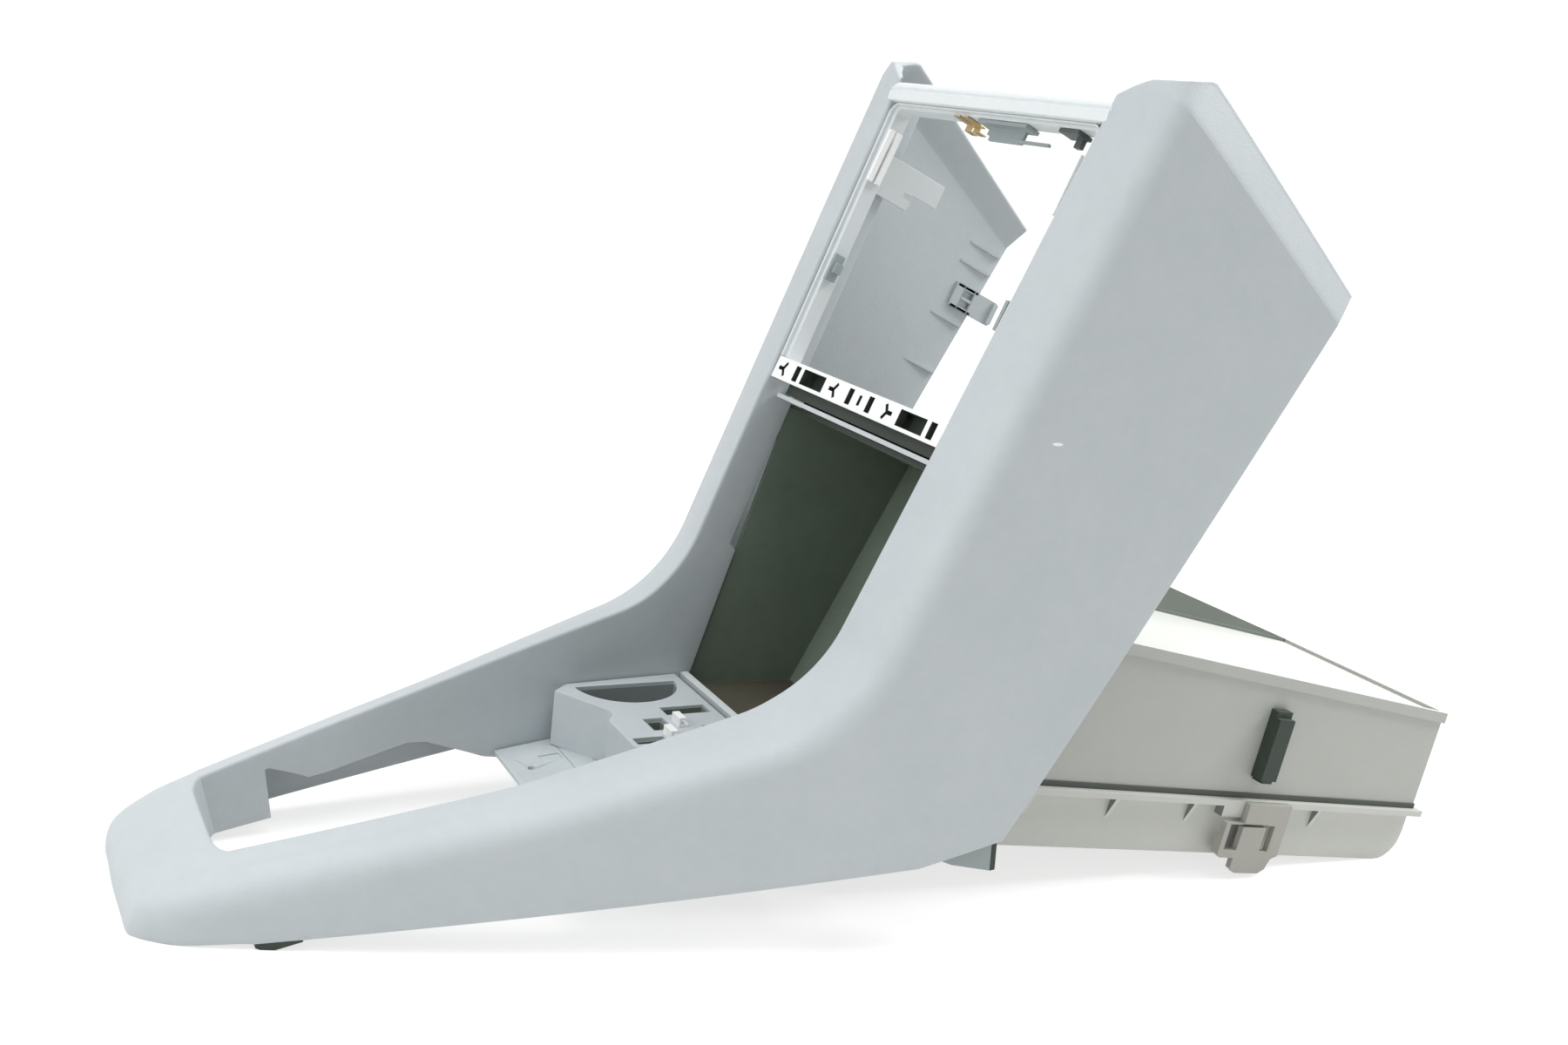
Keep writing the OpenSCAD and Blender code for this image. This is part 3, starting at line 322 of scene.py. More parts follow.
# Painted shade: a darker warm grey for the inside of the housing's web and the fronts of the pan's gussets,
# which lie in shade.
PAINTED_SHADE = moulded("filled polypropylene, moulded warm grey, painted shade dark", "#7E857E", "#6E756F", 1.2, 0.3, 0.6)
LATCH = moulded("nylon, moulded warm mid grey", "#A9A8A1", "#999992", 1.0, 0.2, 0.5)
POCKET = moulded("ABS, moulded dark grey, rubbed", "#8E9494", "#7C8282", 1.1, 0.25, 0.5)
DARK = moulded("ABS, moulded dark grey", "#4E5556", "#434A4B", 1.1, 0.25, 0.48)
MID = moulded("nylon, moulded mid grey", "#9AA3A4", "#8D9697", 1.0, 0.2, 0.5)
SOCKET = moulded("elastomer, moulded mid grey", "#727873", "#636965", 0.9, 0.3, 0.65)
# Real rubber for the feet, buffers and side stop; the same near black is painted shade in the crossbar's
# cut-outs.
RUBBER_AND_PAINTED_SHADE = moulded("rubber, moulded near black", "#3A433C", "#303731", 0.8, 0.4, 0.72)
FOAM = moulded("closed-cell foam strip, cut dark", "#5C625D", "#4F554F", 1.6, 0.8, 0.9)
print("eighteen plastics made")

# %% [markdown]
# ## Metals
# The two spring clips on the top rail are stamped from brass strip, and the hidden screws are zinc
# plated. Rolled strip and drawn wire carry fine streaks along their length, which break up the
# reflection, so the same streaked noise steers the roughness, the relief and a slight change of tone.


# %% Metals
def plain_metal(name, colour, rough, streak_mm):
    """Bare metal with drawn streaks streak_mm wide in its roughness and bump."""
    mat = blank(name)
    t = mat.node_tree
    place = add(t, "ShaderNodeTexCoord").outputs["Object"]
    pulled = add(t, "ShaderNodeMapping", Vector=place, Scale=(40, 1000 / streak_mm, 1000 / streak_mm))
    lines = add(t, "ShaderNodeTexNoise", Vector=pulled.outputs[0], Scale=1.0, Detail=3.0)
    rub = add(t, "ShaderNodeMapRange", Value=lines.outputs["Fac"], To_Min=rough - 0.08, To_Max=rough + 0.1)
    relief = add(t, "ShaderNodeBump", Strength=0.15, Distance=0.0002, Height=lines.outputs["Fac"])
    tone = add(t, "ShaderNodeMix", {"data_type": "RGBA"},
               i0=lines.outputs["Fac"], A=linear(colour), B=linear("#B9B4A2"))
    shader = add(t, "ShaderNodeBsdfPrincipled", Base_Color=tone.outputs["Result"],
                 Roughness=rub.outputs[0], Normal=relief.outputs[0], Metallic=1.0)
    add(t, "ShaderNodeOutputMaterial", Surface=shader.outputs[0])
    return mat


BRASS = plain_metal("spring brass, stamped strip", "#C9A24A", 0.34, 0.8)
ZINC = plain_metal("steel, zinc plated", "#A9ABA8", 0.38, 0.9)
print("two metals made")

# %% [markdown]
# ## The shell as one smooth surface
# The shell is a section carried along the shoulder line: from its lower edge up the side wall, over
# the rounded shoulder, across the crowned band to the opening, and down a thin skirt inside. The
# solid has the same sections at wide steps. Here they are worked out much closer together, all at
# once in arrays, so that the knee, the waist and the blunt nose come out truly round.

# %% Widths along the console: the parabola's square and linear terms, and the band's widths
WQ = ((BACK_W + TIP_W) / 4 - MID_W / 2) / TIP[0] ** 2
WL = (BACK_W - TIP_W) / 4 / -TIP[0]
BAND_PLACES, BAND_WIDTHS = [TIP[0], WAIST[0], KNEE[0] - 20], [26, 28, 39]


def half_w(x, z):
    """Half width of the side wall: a parabola in x through three widths, drawn in by the draft times z."""
    return MID_W / 2 + WL * x + WQ * x * x - z * np.tan(DRAFT)


def open_w(x, z):
    """Half width of the opening: the side wall less the band, which narrows from 39 to 26 mm."""
    return half_w(x, z) - np.interp(x, BAND_PLACES, BAND_WIDTHS)


def fillet(a, b, c, r, n):
    """n + 1 points of the arc of radius r that rounds the corner b between a and c."""
    p, q = unit(a - b), unit(c - b)
    half = np.arccos(p @ q) / 2
    centre = b + unit(p + q) * r / np.sin(half)
    start, end = b + p * r / np.tan(half), b + q * r / np.tan(half)
    a0, a1 = np.arctan2(*(start - centre)[::-1]), np.arctan2(*(end - centre)[::-1])
    turn = (a1 - a0 + np.pi) % (2 * np.pi) - np.pi
    angle = a0 + turn * np.linspace(0, 1, n + 1)
    return centre + r * np.stack([np.cos(angle), np.sin(angle)], 1)


print("half width at the heel %.1f mm, at the waist %.1f mm" % (half_w(*HEEL), half_w(*WAIST)))

# %% The shoulder line, from the tower's top to the nose
N_TOWER, KNEE_R, WAIST_R = 24, 84, 420
NOTCH_X = np.array([-211, -229, -234, -235, -250.0])  # the steps of the skirt, and one before the nose


def straight(a, b, n):
    """n points from a towards b, without b."""
    return a + (b - a) * np.linspace(0, 1, n, endpoint=False)[:, None]


knee = fillet(TOP, KNEE, WAIST, KNEE_R, 40)
waist = fillet(KNEE, WAIST, TIP, WAIST_R, 12)
arm = np.stack([NOTCH_X, np.interp(NOTCH_X, [TIP[0], WAIST[0]], [TIP[1], WAIST[1]])], 1)
arm = np.concatenate([arm, (arm[:-1] + arm[1:]) / 2])
arm = arm[np.argsort(-arm[:, 0])]
line = np.concatenate([straight(TOP, knee[0], N_TOWER), knee, straight(knee[-1], waist[0], 14)[1:], waist,
                       straight(waist[-1], arm[0], 6)[1:], arm, TIP[None]])
N_KNEE = len(knee)
ways = unit(np.gradient(line, axis=0))
ups = -left(ways)
print("shoulder line:", len(line), "places")

# %% Lower edge at each place, and the bin's outline that the skirt meets
share = np.linspace(0, 1, N_TOWER, endpoint=False)[:, None]
on_back = BACK + (HEEL - BACK) * share
on_heel = HEEL + (SOLE - HEEL) * np.linspace(0, 1, N_KNEE)[:, None]
rest = line[N_TOWER + N_KNEE:]
sole_end = np.array([TIP[0] + 4, 0])
knee_end = knee[-1, 0]
on_sole = SOLE + (sole_end - SOLE) * ((knee_end - rest[:, :1]) / (knee_end - TIP[0]))
edge_line = np.concatenate([on_back, on_heel, on_sole])
tower_way = unit(TOP - KNEE)
tower_up = left(tower_way)


def on_tower(down, out):
    """Place in the side view, down the tower's front from its top and out from the shoulder line."""
    return TOP - tower_way * down + tower_up * out


BIN_DOWN = RAIL_H + RADIO_H + BAR_H + TRIM_GAP + TRIM_H + SEAT
B_ROOF, B_SILL = on_tower(BIN_DOWN + BIN_WALL_T, CROWN - SKIRT_D - SEAT), np.array([20.0, 25.0])
B_EDGE = B_ROOF - B_SILL + np.array([SILL_STEP, 0])
print("lower edge at", len(edge_line), "places, bin from %.1f mm down the tower" % BIN_DOWN)

# %% Skirt depth at each place: even in the tower, to the bin in the knee, to the notched line in the arm
LEAST_SKIRT = 4
tops = line + ups * CROWN
reach = ((B_SILL - [SILL_STEP, 0] - tops) @ left(B_EDGE)) / (-ups @ left(B_EDGE)) - SEAT
notch = np.interp(tops[:, 0], [-235, -234, -229, -211, -153, -122, -112], [2, 29, 29, 18, 25, 6, 3])
to_notch = np.maximum(LEAST_SKIRT, (tops[:, 1] - notch) / ups[:, 1])
in_bin = ((tops - ups * reach[:, None])[:, 1] > B_SILL[1]) & (reach > 0)
skirt = np.where(np.arange(len(line)) <= N_TOWER, SKIRT_D, np.where(in_bin, reach, to_notch))
print("skirt from %.1f to %.1f mm deep" % (skirt.min(), skirt.max()))

# %% [markdown]
# ## Section of the wall
# Each section is a closed loop: the outside from the lower edge to the end of the skirt, and back
# along the inside, three millimetres in. Corners between straight stretches are curves, so light
# rolls over the shoulder as it does on the moulding.


# %% A loop of the wall, for all places at once
SWELL, TIP_R, ROOT_DROP = 1.2, 0.7, 1


def soft(corner, a, b, r, k):
    """k + 1 points of a parabola that rounds a corner: corner + a r (1 - t)^2 + b r t^2."""
    t = np.linspace(0, 1, k + 1)[None, :, None]
    return corner[:, None] + a[:, None] * r * (1 - t) ** 2 + b[:, None] * r * t ** 2


def between(a, b, n):
    """n points strictly between a and b, evenly spaced."""
    t = np.linspace(0, 1, n + 2)[None, 1:-1, None]
    return a[:, None] * (1 - t) + b[:, None] * t


def sections(s, o, b, l, n, depth, fix=None):
    """Loops through s (shoulder), o (opening edge) and b (lower edge); l points outwards, n upwards.
    The band between s and o swells by half a sine wave; fix puts the wall's points on the true side
    surface. Lower edges are rounded by TIP_R."""
    w, f = unit(b - s), unit(o - s)
    depth = np.asarray(depth)[:, None]
    wall_out = between(b, s + w * SHOULDER_R, 10)
    over = soft(s, w, f, SHOULDER_R, 10)
    swell = np.sin(np.linspace(0, np.pi, 8)[1:-1])[None, :, None] * SWELL
    lift_dir = unit(np.cross(np.cross(f, n), f))
    flat = between(s + f * SHOULDER_R, o - f * EDGE_R, 6) + lift_dir[:, None] * swell
    brink = soft(o, -f, -n, EDGE_R, 5)
    foot = o - n * depth
    skirt_out = between(o - n * EDGE_R, foot + n * TIP_R, 2)
    foot_edge = soft(foot, n, l, TIP_R, 3)
    foot_back = soft(foot + l * SKIRT_T, -l, n, TIP_R, 3)
    root = o + l * SKIRT_T - n * (WALL + ROOT_DROP)
    elbow = s - l * (WALL + 2) - n * (WALL + ROOT_DROP)
    under_band = between(root, elbow, 4)
    wall_in = between(elbow, b - l * WALL, 10)
    if fix is not None:
        wall_out = fix(wall_out, 0.0)
        wall_in = fix(wall_in, WALL)
    heel_edge = soft(b - l * WALL, -w, l, TIP_R, 3)
    toe_edge = soft(b, -l, -w, TIP_R, 3)
    parts = [toe_edge[:, 1:], wall_out, over, flat, brink, skirt_out, foot_edge, foot_back,
             root[:, None], under_band, elbow[:, None], wall_in, heel_edge]
    return np.concatenate(parts, 1)


def side_loops(sign):
    """Sections along one side wall; its points lie at half_w of their own x and z."""
    s = np.stack([line[:, 0], sign * half_w(line[:, 0], line[:, 1]), line[:, 1]], 1)
    o = np.stack([tops[:, 0], sign * open_w(line[:, 0], line[:, 1]), tops[:, 1]], 1)
    b = np.stack([edge_line[:, 0], sign * half_w(*edge_line.T), edge_line[:, 1]], 1)
    l = np.tile([0.0, sign, 0], (len(s), 1))
    n = np.stack([ups[:, 0], 0 * ups[:, 0], ups[:, 1]], 1)

    def fix(p, inwards):
        """Moves points sideways onto the wall's surface, less inwards."""
        p = p.copy()
        p[..., 1] = sign * (half_w(p[..., 0], p[..., 2]) - inwards)
        return p
    return sections(s, o, b, l, n, skirt, fix)


near_wall, far_wall = side_loops(-1), side_loops(1)
print("each side:", near_wall.shape[0], "sections of", near_wall.shape[1], "points")

# %% [markdown]
# ## The blunt nose
# Seen from above, the arm's end first tapers, then turns a rounded corner and closes with a nearly
# straight front. Shares of the nose's length and half width were read off the lower edge in the
# photograph, and one smooth curve through them carries shoulder, opening edge and lower edge round.


# %% Sections round the nose
NOSE_PLAN = np.array([[0, 1], [0.3, 0.945], [0.56, 0.885], [0.78, 0.795],
                      [0.93, 0.71], [0.99, 0.62], [1, 0.35], [1.01, 0]])
NOSE_SPANS, NOSE_BAND, NOSE_TOE, NOSE_LIFT = 14, 40, 6.5, 3
BEFORE_NOSE = [[-0.3, 1.05]]


def curve(points, k):
    """Catmull-Rom curve: between points 1 and 2, with t from 0 to 1, half of
    2 P1 + (P2 - P0) t + (2 P0 - 5 P1 + 4 P2 - P3) t^2 + (3 P1 - P0 - 3 P2 + P3) t^3."""
    i = np.clip(np.floor(k).astype(int), 0, len(points) - 4)
    t = (k - i)[:, None]
    a, b, c, d = (points[i + q] for q in range(4))
    return (2 * b + (c - a) * t + (2 * a - 5 * b + 4 * c - d) * t ** 2 + (3 * b - a - 3 * c + d) * t ** 3) / 2


def nose_loops(k):
    """Sections round the nose for k from 0 to NOSE_SPANS: near half, middle of the front, far half.
    The lower edge lifts by NOSE_LIFT times the root of the sine of the share of a half turn."""
    whole = np.concatenate([BEFORE_NOSE, NOSE_PLAN, NOSE_PLAN[-2::-1], BEFORE_NOSE])
    whole[len(NOSE_PLAN):, 1] *= -1
    share = curve(whole, k)
    a = np.radians(180 * k / NOSE_SPANS)
    flow = (WAIST[1] - TIP[1]) / (WAIST[0] - TIP[0])
    up = unit(np.array([-flow, 0, 1.0]))

    def plan(length, width):
        """Place in the plan view for a nose of this length and half width."""
        return -length * share[:, 0], -width * share[:, 1]
    sx, sy = plan(NOSE_LEN, half_w(*TIP))
    ox, oy = plan(NOSE_LEN - NOSE_BAND, open_w(*TIP))
    bx, by = plan(NOSE_LEN + NOSE_TOE, half_w(*sole_end))
    s = np.stack([TIP[0] + sx, sy, TIP[1] + flow * sx], 1)
    o = np.stack([TIP[0] + ox, oy, TIP[1] + flow * ox], 1) + up * CROWN
    b = np.stack([sole_end[0] + bx, by, NOSE_LIFT * np.sin(a) ** 0.5], 1)
    l = (s - o) * [1, 1, 0]
    return sections(s, o, b, unit(l), np.tile(up, (len(a), 1)), (o[:, 2] - 2) / up[2])


# %% All sections, with the tower's upper end let down beside the opening
TOP_DROP = 5
tower_mid = open_w(*TOP) - 1
for rows in (near_wall, far_wall):
    across = np.clip((np.abs(rows[0, :, 1]) - tower_mid) / (half_w(*TOP) - tower_mid), 0, 1)
    drop = TOP_DROP * (1 - np.minimum(1, across * 1.5))
    rows[0, :, 0] -= tower_way[0] * drop
    rows[0, :, 2] -= tower_way[1] * drop
nose = nose_loops(np.linspace(0, NOSE_SPANS, 6 * NOSE_SPANS + 1)[1:-1])
loops = np.concatenate([near_wall, nose, far_wall[::-1]])
print("shell:", loops.shape[0], "sections")


# %% From a grid of points to a mesh
def grid_mesh(name, p, loop=False, caps=False, material=None, sharp=40):
    """A mesh from rows of points in the console's frame: each point joins its neighbours along and
    across, round again if loop is set, with the first and last row closed if caps is set."""
    n, m = p.shape[:2]
    i, j = np.meshgrid(np.arange(n - 1), np.arange(m if loop else m - 1), indexing="ij")
    k = (j + 1) % m
    faces = np.stack([i * m + j, (i + 1) * m + j, (i + 1) * m + k, i * m + k], -1).reshape(-1, 4).tolist()
    if caps:
        faces += [list(range(m)), [(n - 1) * m + q for q in range(m)][::-1]]
    mesh = bpy.data.meshes.new(name)
    mesh.from_pydata(to_row(p.reshape(-1, 3)).tolist(), [], faces)
    mesh.validate()
    bm = bmesh.new()
    bm.from_mesh(mesh)
    bmesh.ops.remove_doubles(bm, verts=bm.verts, dist=1e-6)
    bmesh.ops.recalc_face_normals(bm, faces=bm.faces)
    bm.to_mesh(mesh)
    bm.free()
    mesh.shade_smooth()
    mesh.set_sharp_from_angle(angle=np.radians(sharp))
    obj = bpy.data.objects.new(name, mesh)
    bpy.context.collection.objects.link(obj)
    if material:
        mesh.materials.append(material)
    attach(obj, "root")
    return obj


shell = grid_mesh("shell_moulding", loops, loop=True, caps=True, material=SHELL)
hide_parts("console_shell")
print("shell:", len(shell.data.polygons), "faces")

# %% [markdown]
# ## Upper back of the tower
# Behind the top the side walls go on by about twenty millimetres and lean inwards in a narrow band,
# which stiffens their free edge and shows as a lighter stripe. The same strip runs on round the top
# corner and sinks down to the opening, a little thicker there. It grows out of the first section of
# each wall, so it is a grid: along that section's outside, and out from it, with a rounded end.

# %% Rim strips: bent band along the upper back, then the corner up to the opening
N_BK = left(unit(BACK - TOP))
BAND_OUT, BAND_TOP, CAP_RISE = 17.0, 23.0, 8.0
ROOT_ROWS, TURN_AT, TURN_OVER = slice(2, 34), 11, 10
LEAN, LEAN_R, THICKER = 0.32, 1.2, 4


def rim_strip(sign, row):
    """A strip on the wall's end: out along the side normal or up the tower by a length, leaning in by
    LEAN (sqrt(d^2 + LEAN_R^2) - LEAN_R) at the distance d behind the upper back edge. The way turns
    from the one to the other by 3 s^2 - 2 s^3 over ten points; it is three to seven millimetres thick."""
    root = row[ROOT_ROWS]
    xz = root[:, [0, 2]]
    s = np.clip((np.arange(len(root)) - TURN_AT) / TURN_OVER, 0, 1)
    s = s * s * (3 - 2 * s)
    way = unit(N_BK * (1 - s)[:, None] + tower_way * s[:, None])
    along = np.clip((xz - BACK) @ (TOP - BACK) / ((TOP - BACK) @ (TOP - BACK)), 0, 1)
    level = (TOP[1] + CAP_RISE - xz[:, 1]) / way[:, 1]
    t = np.clip((np.abs(root[:, 1]) - tower_mid) / (half_w(*TOP) - tower_mid), 0, 1)
    crest = np.maximum(0.3, (CAP_RISE + 1) * np.sin(np.radians(np.minimum(90, t * 110))))
    band = BAND_OUT + (BAND_TOP - BAND_OUT) * along
    out = np.minimum(level, np.where(s > 0, crest + 30 * (1 - s) ** 2, band))
    way3 = np.stack([way[:, 0], 0 * s, way[:, 1]], 1)
    v = np.linspace(0, 1, 14)[None, :, None]
    p = root[:, None] + way3[:, None] * out[:, None, None] * v
    d = np.maximum(0, (p[..., [0, 2]] - TOP) @ N_BK)
    p[..., 1] -= sign * LEAN * (np.sqrt(d * d + LEAN_R ** 2) - LEAN_R)
    n = unit(np.cross(np.gradient(p, axis=0), np.gradient(p, axis=1)))
    n = n * np.sign(n[4, 6, 1] * sign)
    thick = (WALL + THICKER * s * np.minimum(1, 2 * t))[:, None, None]
    phi = np.linspace(0, np.pi, 11)[None, 1:-1, None]
    rim = p[:, -1:] - n[:, -1:] * thick / 2 * (1 - np.cos(phi)) + way3[:, None] * 1.5 * np.sin(phi) ** 0.6
    return np.concatenate([p, rim, (p - n * thick)[:, ::-1]], 1)


for side, sign, rows in (("near", -1, near_wall), ("far", 1, far_wall)):
    grid_mesh("rim_strip_" + side, rim_strip(sign, rows[0]), loop=True, caps=True, material=SHELL, sharp=50)
print("two rim strips")

# %% [markdown]
# ## Top rail
# The rail that closes the opening at the top is part of the same moulding. Light burns its upward
# faces almost white, and that light is painted into it as a paler copy of the shell's grey: a painted
# highlight. Its cross section is a rounded nosing with two thin legs and a fine groove where the
# radio's frame begins. The profile is drawn in the frame of the tower's front, along it and out of it, and
# carried straight across.


# %% The top rail
END_SINK, END_LEN, RAIL_STEPS = 0.6, 8, 60


def run_across(name, profile, half, material):
    """A closed profile, along and out of the tower's front from its top, carried across. Its ends
    sink by END_SINK times the square of the share of the last END_LEN."""
    y = np.linspace(-half, half, RAIL_STEPS)
    sink = END_SINK * np.clip((np.abs(y) - half + END_LEN) / END_LEN, 0, 1) ** 2
    outwards = profile[None, :, 1:] - sink[:, None, None]
    xz = on_tower(0, CROWN) + profile[None, :, :1] * tower_way + outwards * tower_up
    p = np.stack([xz[..., 0], np.broadcast_to(y[:, None], xz.shape[:2]), xz[..., 1]], -1)
    grid_mesh(name, p, loop=True, caps=True, material=material, sharp=30)


def arc(cx, cz, r, a0, a1, n):
    """n points of an arc in the frame of the tower's front: along it, and out of it; degrees."""
    a = np.radians(np.linspace(a0, a1, n))
    return np.stack([cx + r * np.cos(a), cz + r * np.sin(a)], 1)


rail = np.concatenate([
    arc(-16.2, -0.8, 0.8, 180, 90, 5), arc(-10.5, 1.2, 1.2, 200, 340, 9), arc(-9, -4, 4, 90, 0, 12),
    [[-5, -15.4], [-5.6, -16], [-7.4, -16], [-8, -15.4], [-8, -6], [-9, -4.2]],
    [[-13.6, -3.4], [-14.5, -4.2], [-14.5, -15.4], [-15.1, -16], [-16.4, -16], [-17, -15.4]]])
rail_w = open_w(*TOP) + 2.5
run_across("top_rail_moulding", rail, rail_w, PALE_PAINTED_LIGHT)
print("top rail, %.0f mm long" % (2 * rail_w))

# %% [markdown]
# ## Ribs and snap tab
# Thin ribs stand square on the inside of both side walls along their back edge, and the far wall
# carries a snap tab: a plate with a window, between two cheeks. The near wall's ribs can't be seen in
# the photograph and mirror the far ones. All of it belongs to the shell's moulding, and each part is
# a small block with rounded edges, drawn in the frame of that back edge.

# %% Ribs and snap tab inside the far and near walls
U_EDGE = unit(HEEL - BACK)
ROUND_M = 0.0003
CORNERS = np.indices((2, 2, 2)).reshape(3, 8).T
SIDES = [(0, 1, 3, 2), (2, 3, 7, 6), (6, 7, 5, 4), (4, 5, 1, 0), (2, 6, 4, 0), (7, 3, 1, 5)]


def block(name, lo, hi, place, material):
    """A small block from corner lo to hi with edges rounded by ROUND_M; place carries its points to
    the console frame."""
    mesh = bpy.data.meshes.new(name)
    lo, hi = np.array(lo, float), np.array(hi, float)
    mesh.from_pydata(to_row(place(lo + CORNERS * (hi - lo))).tolist(), [], SIDES)
    bm = bmesh.new()
    bm.from_mesh(mesh)
    bmesh.ops.recalc_face_normals(bm, faces=bm.faces)
    bmesh.ops.bevel(bm, geom=bm.edges[:], offset=ROUND_M, segments=2, affect="EDGES", clamp_overlap=True)
    bm.to_mesh(mesh)
    bm.free()
    mesh.shade_smooth()
    mesh.set_sharp_from_angle(angle=np.radians(30))
    mesh.materials.append(material)
    obj = bpy.data.objects.new(name, mesh)
    bpy.context.collection.objects.link(obj)
    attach(obj, "root")


def on_back_edge(lower, sign):
    """Carries points to the back edge, lower by so many millimetres along it than its upper end: x up
    the tower, y outwards from the wall's inside, z out of the front."""
    at = BACK + U_EDGE * lower
    base = np.array([at[0], half_w(*at) - WALL, at[1]])
    axes = np.array([[tower_way[0], 0, tower_way[1]], [0, 1, 0], [tower_up[0], 0, tower_up[1]]])
    return lambda local: (base + local @ axes) * [1, sign, 1]


for side, sign in (("near", -1), ("far", 1)):
    for k, lower in enumerate([8, 21.5, 60, 95]):
        block("wall_rib_%s_%d" % (side, k + 1), [-0.8, -2.2, 1.5], [0.8, 0.6, 28.5],
              on_back_edge(lower, sign), SHELL)
TAB_LOWER = 43
tab = [([-8, -3, -15], [8, -0.8, 5]), ([-8, -3, 5], [-5.5, -0.8, 14]), ([-1, -3, 5], [1, -0.8, 14]),
       ([5.5, -3, 5], [8, -0.8, 14]), ([-8, -3, 14], [8, -0.8, 21]), ([-8, -3, 2], [-6, 1, 20]),
       ([6, -3, 2], [8, 1, 20]), ([-7, -5, -15], [7, -2, -11])]
for k, (lo, hi) in enumerate(tab):
    block("snap_tab_%d" % (k + 1), lo, hi, on_back_edge(TAB_LOWER, 1), SHELL)
print("eight ribs and a snap tab")

# %% [markdown]
# ## Two small things that the photograph shows
# The floor plate goes on under the carrier's foot: without that tail the white ground shows through
# beside the foot. And a small white fleck lies on the near wall. It is a flat drop, laid on the
# wall's surface and highest in its middle.

# %% Tail of the floor plate, under the carrier's foot
TAIL_X, TAIL_Z = (-70, -57), (6, 8.5)
tail_w = open_w(-64.0, 50.0) - 2
block("floor_plate_tail", [TAIL_X[0], -tail_w, TAIL_Z[0]], [TAIL_X[1], tail_w, TAIL_Z[1]], np.asarray, SHELL)
print("tail of the floor plate, %d by %.0f mm" % (TAIL_X[1] - TAIL_X[0], 2 * tail_w))

# %% A small white fleck on the near wall
FLECK_X, FLECK_Z, FLECK_LEN, FLECK_H, FLECK_SLANT = 110.6, 217, 2.8, 0.8, 0.12
ring = np.array([0, 1, 1, 0.85, 0.6, 0.3, 0])[:, None]
height = np.array([-0.2, -0.2, 0.02, 0.1, 0.16, 0.19, 0.2])[:, None]
angle = np.linspace(0, 2 * np.pi, 24, endpoint=False)
along, across = FLECK_LEN * ring * np.cos(angle), FLECK_H * ring * np.sin(angle)
fleck_x, fleck_z = FLECK_X + along + FLECK_SLANT * across, FLECK_Z - FLECK_SLANT * along + across
fleck = np.stack([fleck_x, -half_w(fleck_x, fleck_z) - height, fleck_z], -1)
grid_mesh("white_fleck", fleck, loop=True, material=WHITE, sharp=180)
print("fleck of paint, %.1f by %.1f mm" % (2 * FLECK_LEN, 2 * FLECK_H))

# %% [markdown]
# ## Every other moulding
# The smaller pieces keep their solids. Real mouldings have no knife edges, so each gets a small
# bevel that catches the light, after its loose triangles are welded together.


# %% Finish of the solids
EDGE, WIDER_EDGES = 0.0003, {"insert_carrier": 0.0018, "housing_body": 0.0008, "housing_pan": 0.0008}
WELD, EDGE_STEPS, EDGE_ANGLE = 0.00002, 3, np.radians(35)


def dress(name, material):
    """Gives a CAD node its material, welded triangles, and rounded edges; all lengths in metres."""
    piece = nodes[name]
    piece.data.materials.clear()
    piece.data.materials.append(material)
    weld = piece.modifiers.new("weld", "WELD")
    weld.merge_threshold = WELD
    bev = piece.modifiers.new("edges", "BEVEL")
    bev.width, bev.segments = WIDER_EDGES.get(name, EDGE), EDGE_STEPS
    bev.limit_method, bev.angle_limit = "ANGLE", EDGE_ANGLE
    bev.use_clamp_overlap = True
    bev.harden_normals = False


finishes = {
    "radio_frame": FRAME, "crossbar": WHITE, "trim_bar": FRAME, "bin_liner": BIN_WALL, "bin_sill": FRAME,
    "insert_carrier": SHELL, "pocket_liners": POCKET, "socket_blocks": SOCKET, "carrier_clips": WHITE,
    "floor_plate": SHELL, "rail_spring_clips": BRASS, "rail_bracket": MID, "rail_prong": DARK,
    "side_clips": WHITE, "side_brackets": FRAME, "rim_clips": MID, "nose_foot": RUBBER_AND_PAINTED_SHADE, "heel_feet": MID,
    "heel_buffers": RUBBER_AND_PAINTED_SHADE, "housing_body": WARM, "housing_gasket": FOAM, "housing_pan": WARM_PAN,
    "pan_latch_near": LATCH, "pan_latch_far": LATCH, "side_stop": RUBBER_AND_PAINTED_SHADE, "housing_screws": ZINC}
for name, material in finishes.items():
    dress(name, material)
print(len(finishes), "solids dressed")

# %% [markdown]
# ## Faces that look different on one moulding
# Some mouldings are not one tone all over. The crossbar's cut-outs are painted near black: painted
# shade in those recesses. The bin is dusty on its walls, dark on its flange and stained on its floor.
# The housing's top is painted paler, a painted highlight where the light falls on it, and the inside of
# its raised web and the fronts of the pan's gussets are painted darker as painted shade. Each patch is
# picked by where its faces lie in the console's frame and which way they look.


# %% Patches on the solids
BAR_TOP, BAR_FOOT, BAR_FACE, BAR_END = 179.8, 189.4, 4.95, 99
RIM_DEPTH, FLOOR_BELOW, GUSSETS_FROM, WEB_FROM = 2.4, 60, 72, 60


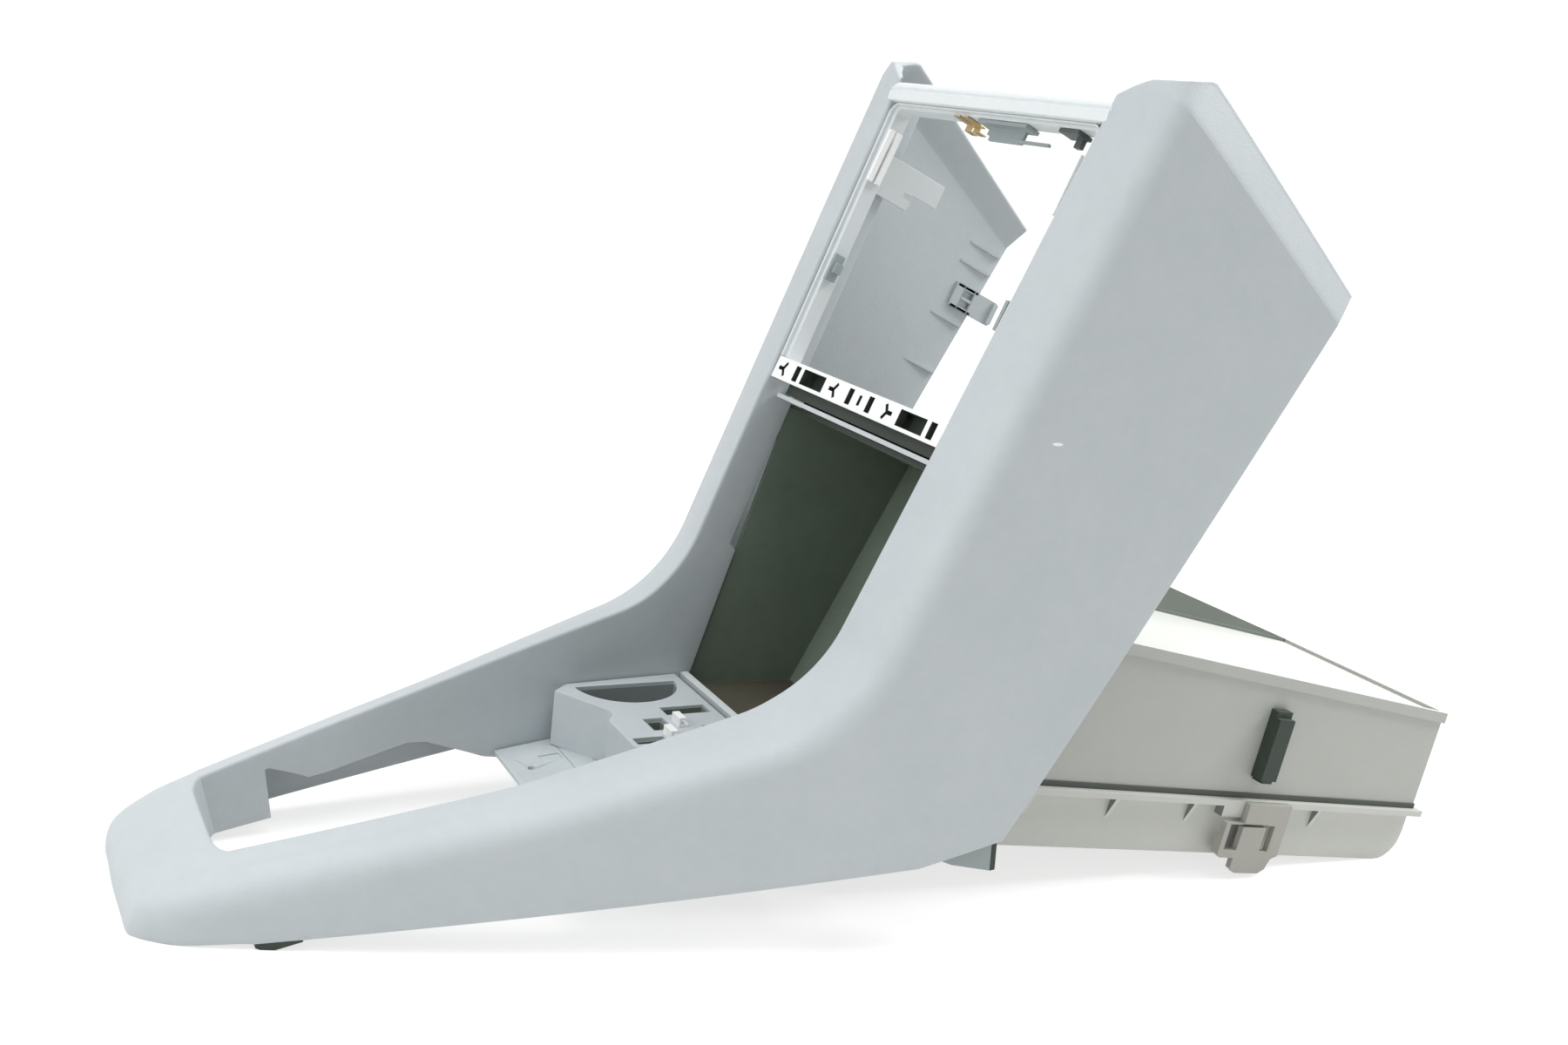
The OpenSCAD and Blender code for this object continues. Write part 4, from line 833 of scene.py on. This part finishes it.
def patch(name, material, rule):
    """Gives a second material to the faces where rule(centre, normal) holds; the centre is in the
    console's frame in millimetres, and the normal is turned into it."""
    mesh = nodes[name].data
    centre, normal = np.empty(len(mesh.polygons) * 3), np.empty(len(mesh.polygons) * 3)
    mesh.polygons.foreach_get("center", centre)
    mesh.polygons.foreach_get("normal", normal)
    picked = rule((centre.reshape(-1, 3) * 1000 - [SHIFT, 0, LIFT]) @ TURN, normal.reshape(-1, 3) @ TURN)
    slots = np.empty(len(mesh.polygons), dtype=np.int32)
    mesh.polygons.foreach_get("material_index", slots)
    mesh.materials.append(material)
    slots[picked] = len(mesh.materials) - 1
    mesh.polygons.foreach_set("material_index", slots)
    print("%s: %d of %d faces in %s" % (name, picked.sum(), len(slots), material.name))


def down(c):
    """Distance down the tower's front from its top."""
    return (TOP - c[:, [0, 2]]) @ tower_way


def out(c):
    """Distance out from the tower's shoulder line."""
    return (c[:, [0, 2]] - TOP) @ tower_up


def cut_outs(c, n):
    """The crossbar's sunk faces: between its upper and lower rim, below its face, inside its ends."""
    return (down(c) > BAR_TOP) & (down(c) < BAR_FOOT) & (out(c) < BAR_FACE) & (np.abs(c[:, 1]) < BAR_END)


# Painted shade: the crossbar's sunk faces get near black, standing for the shade inside its cut-outs.
patch("crossbar", RUBBER_AND_PAINTED_SHADE, cut_outs)
patch("bin_liner", BIN_RIM, lambda c, n: down(c) < BIN_DOWN + RIM_DEPTH)
patch("bin_liner", BIN_FLOOR, lambda c, n: (n[:, 2] > 0.8) & (c[:, 2] < FLOOR_BELOW))
# Painted highlight on the housing's upward faces.
patch("housing_body", WARM_PAINTED_HIGHLIGHT, lambda c, n: n @ [H_UP[0], 0, H_UP[1]] > 0.9)
# Painted shade on the gussets' fronts under the flange and on the raised web's inner face.
patch("housing_pan", PAINTED_SHADE,
      lambda c, n: (n @ [H_ALONG[0], 0, H_ALONG[1]] < -0.9) & (np.abs(c[:, 1]) > GUSSETS_FROM))
patch("housing_body", PAINTED_SHADE, lambda c, n: (n[:, 1] < -0.8) & (c[:, 1] > WEB_FROM))

# %% Size of what is shown, beside the CAD box
size = {"cad": [list(c) for c in cad_box], "scene": [list(c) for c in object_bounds()]}
print(size)
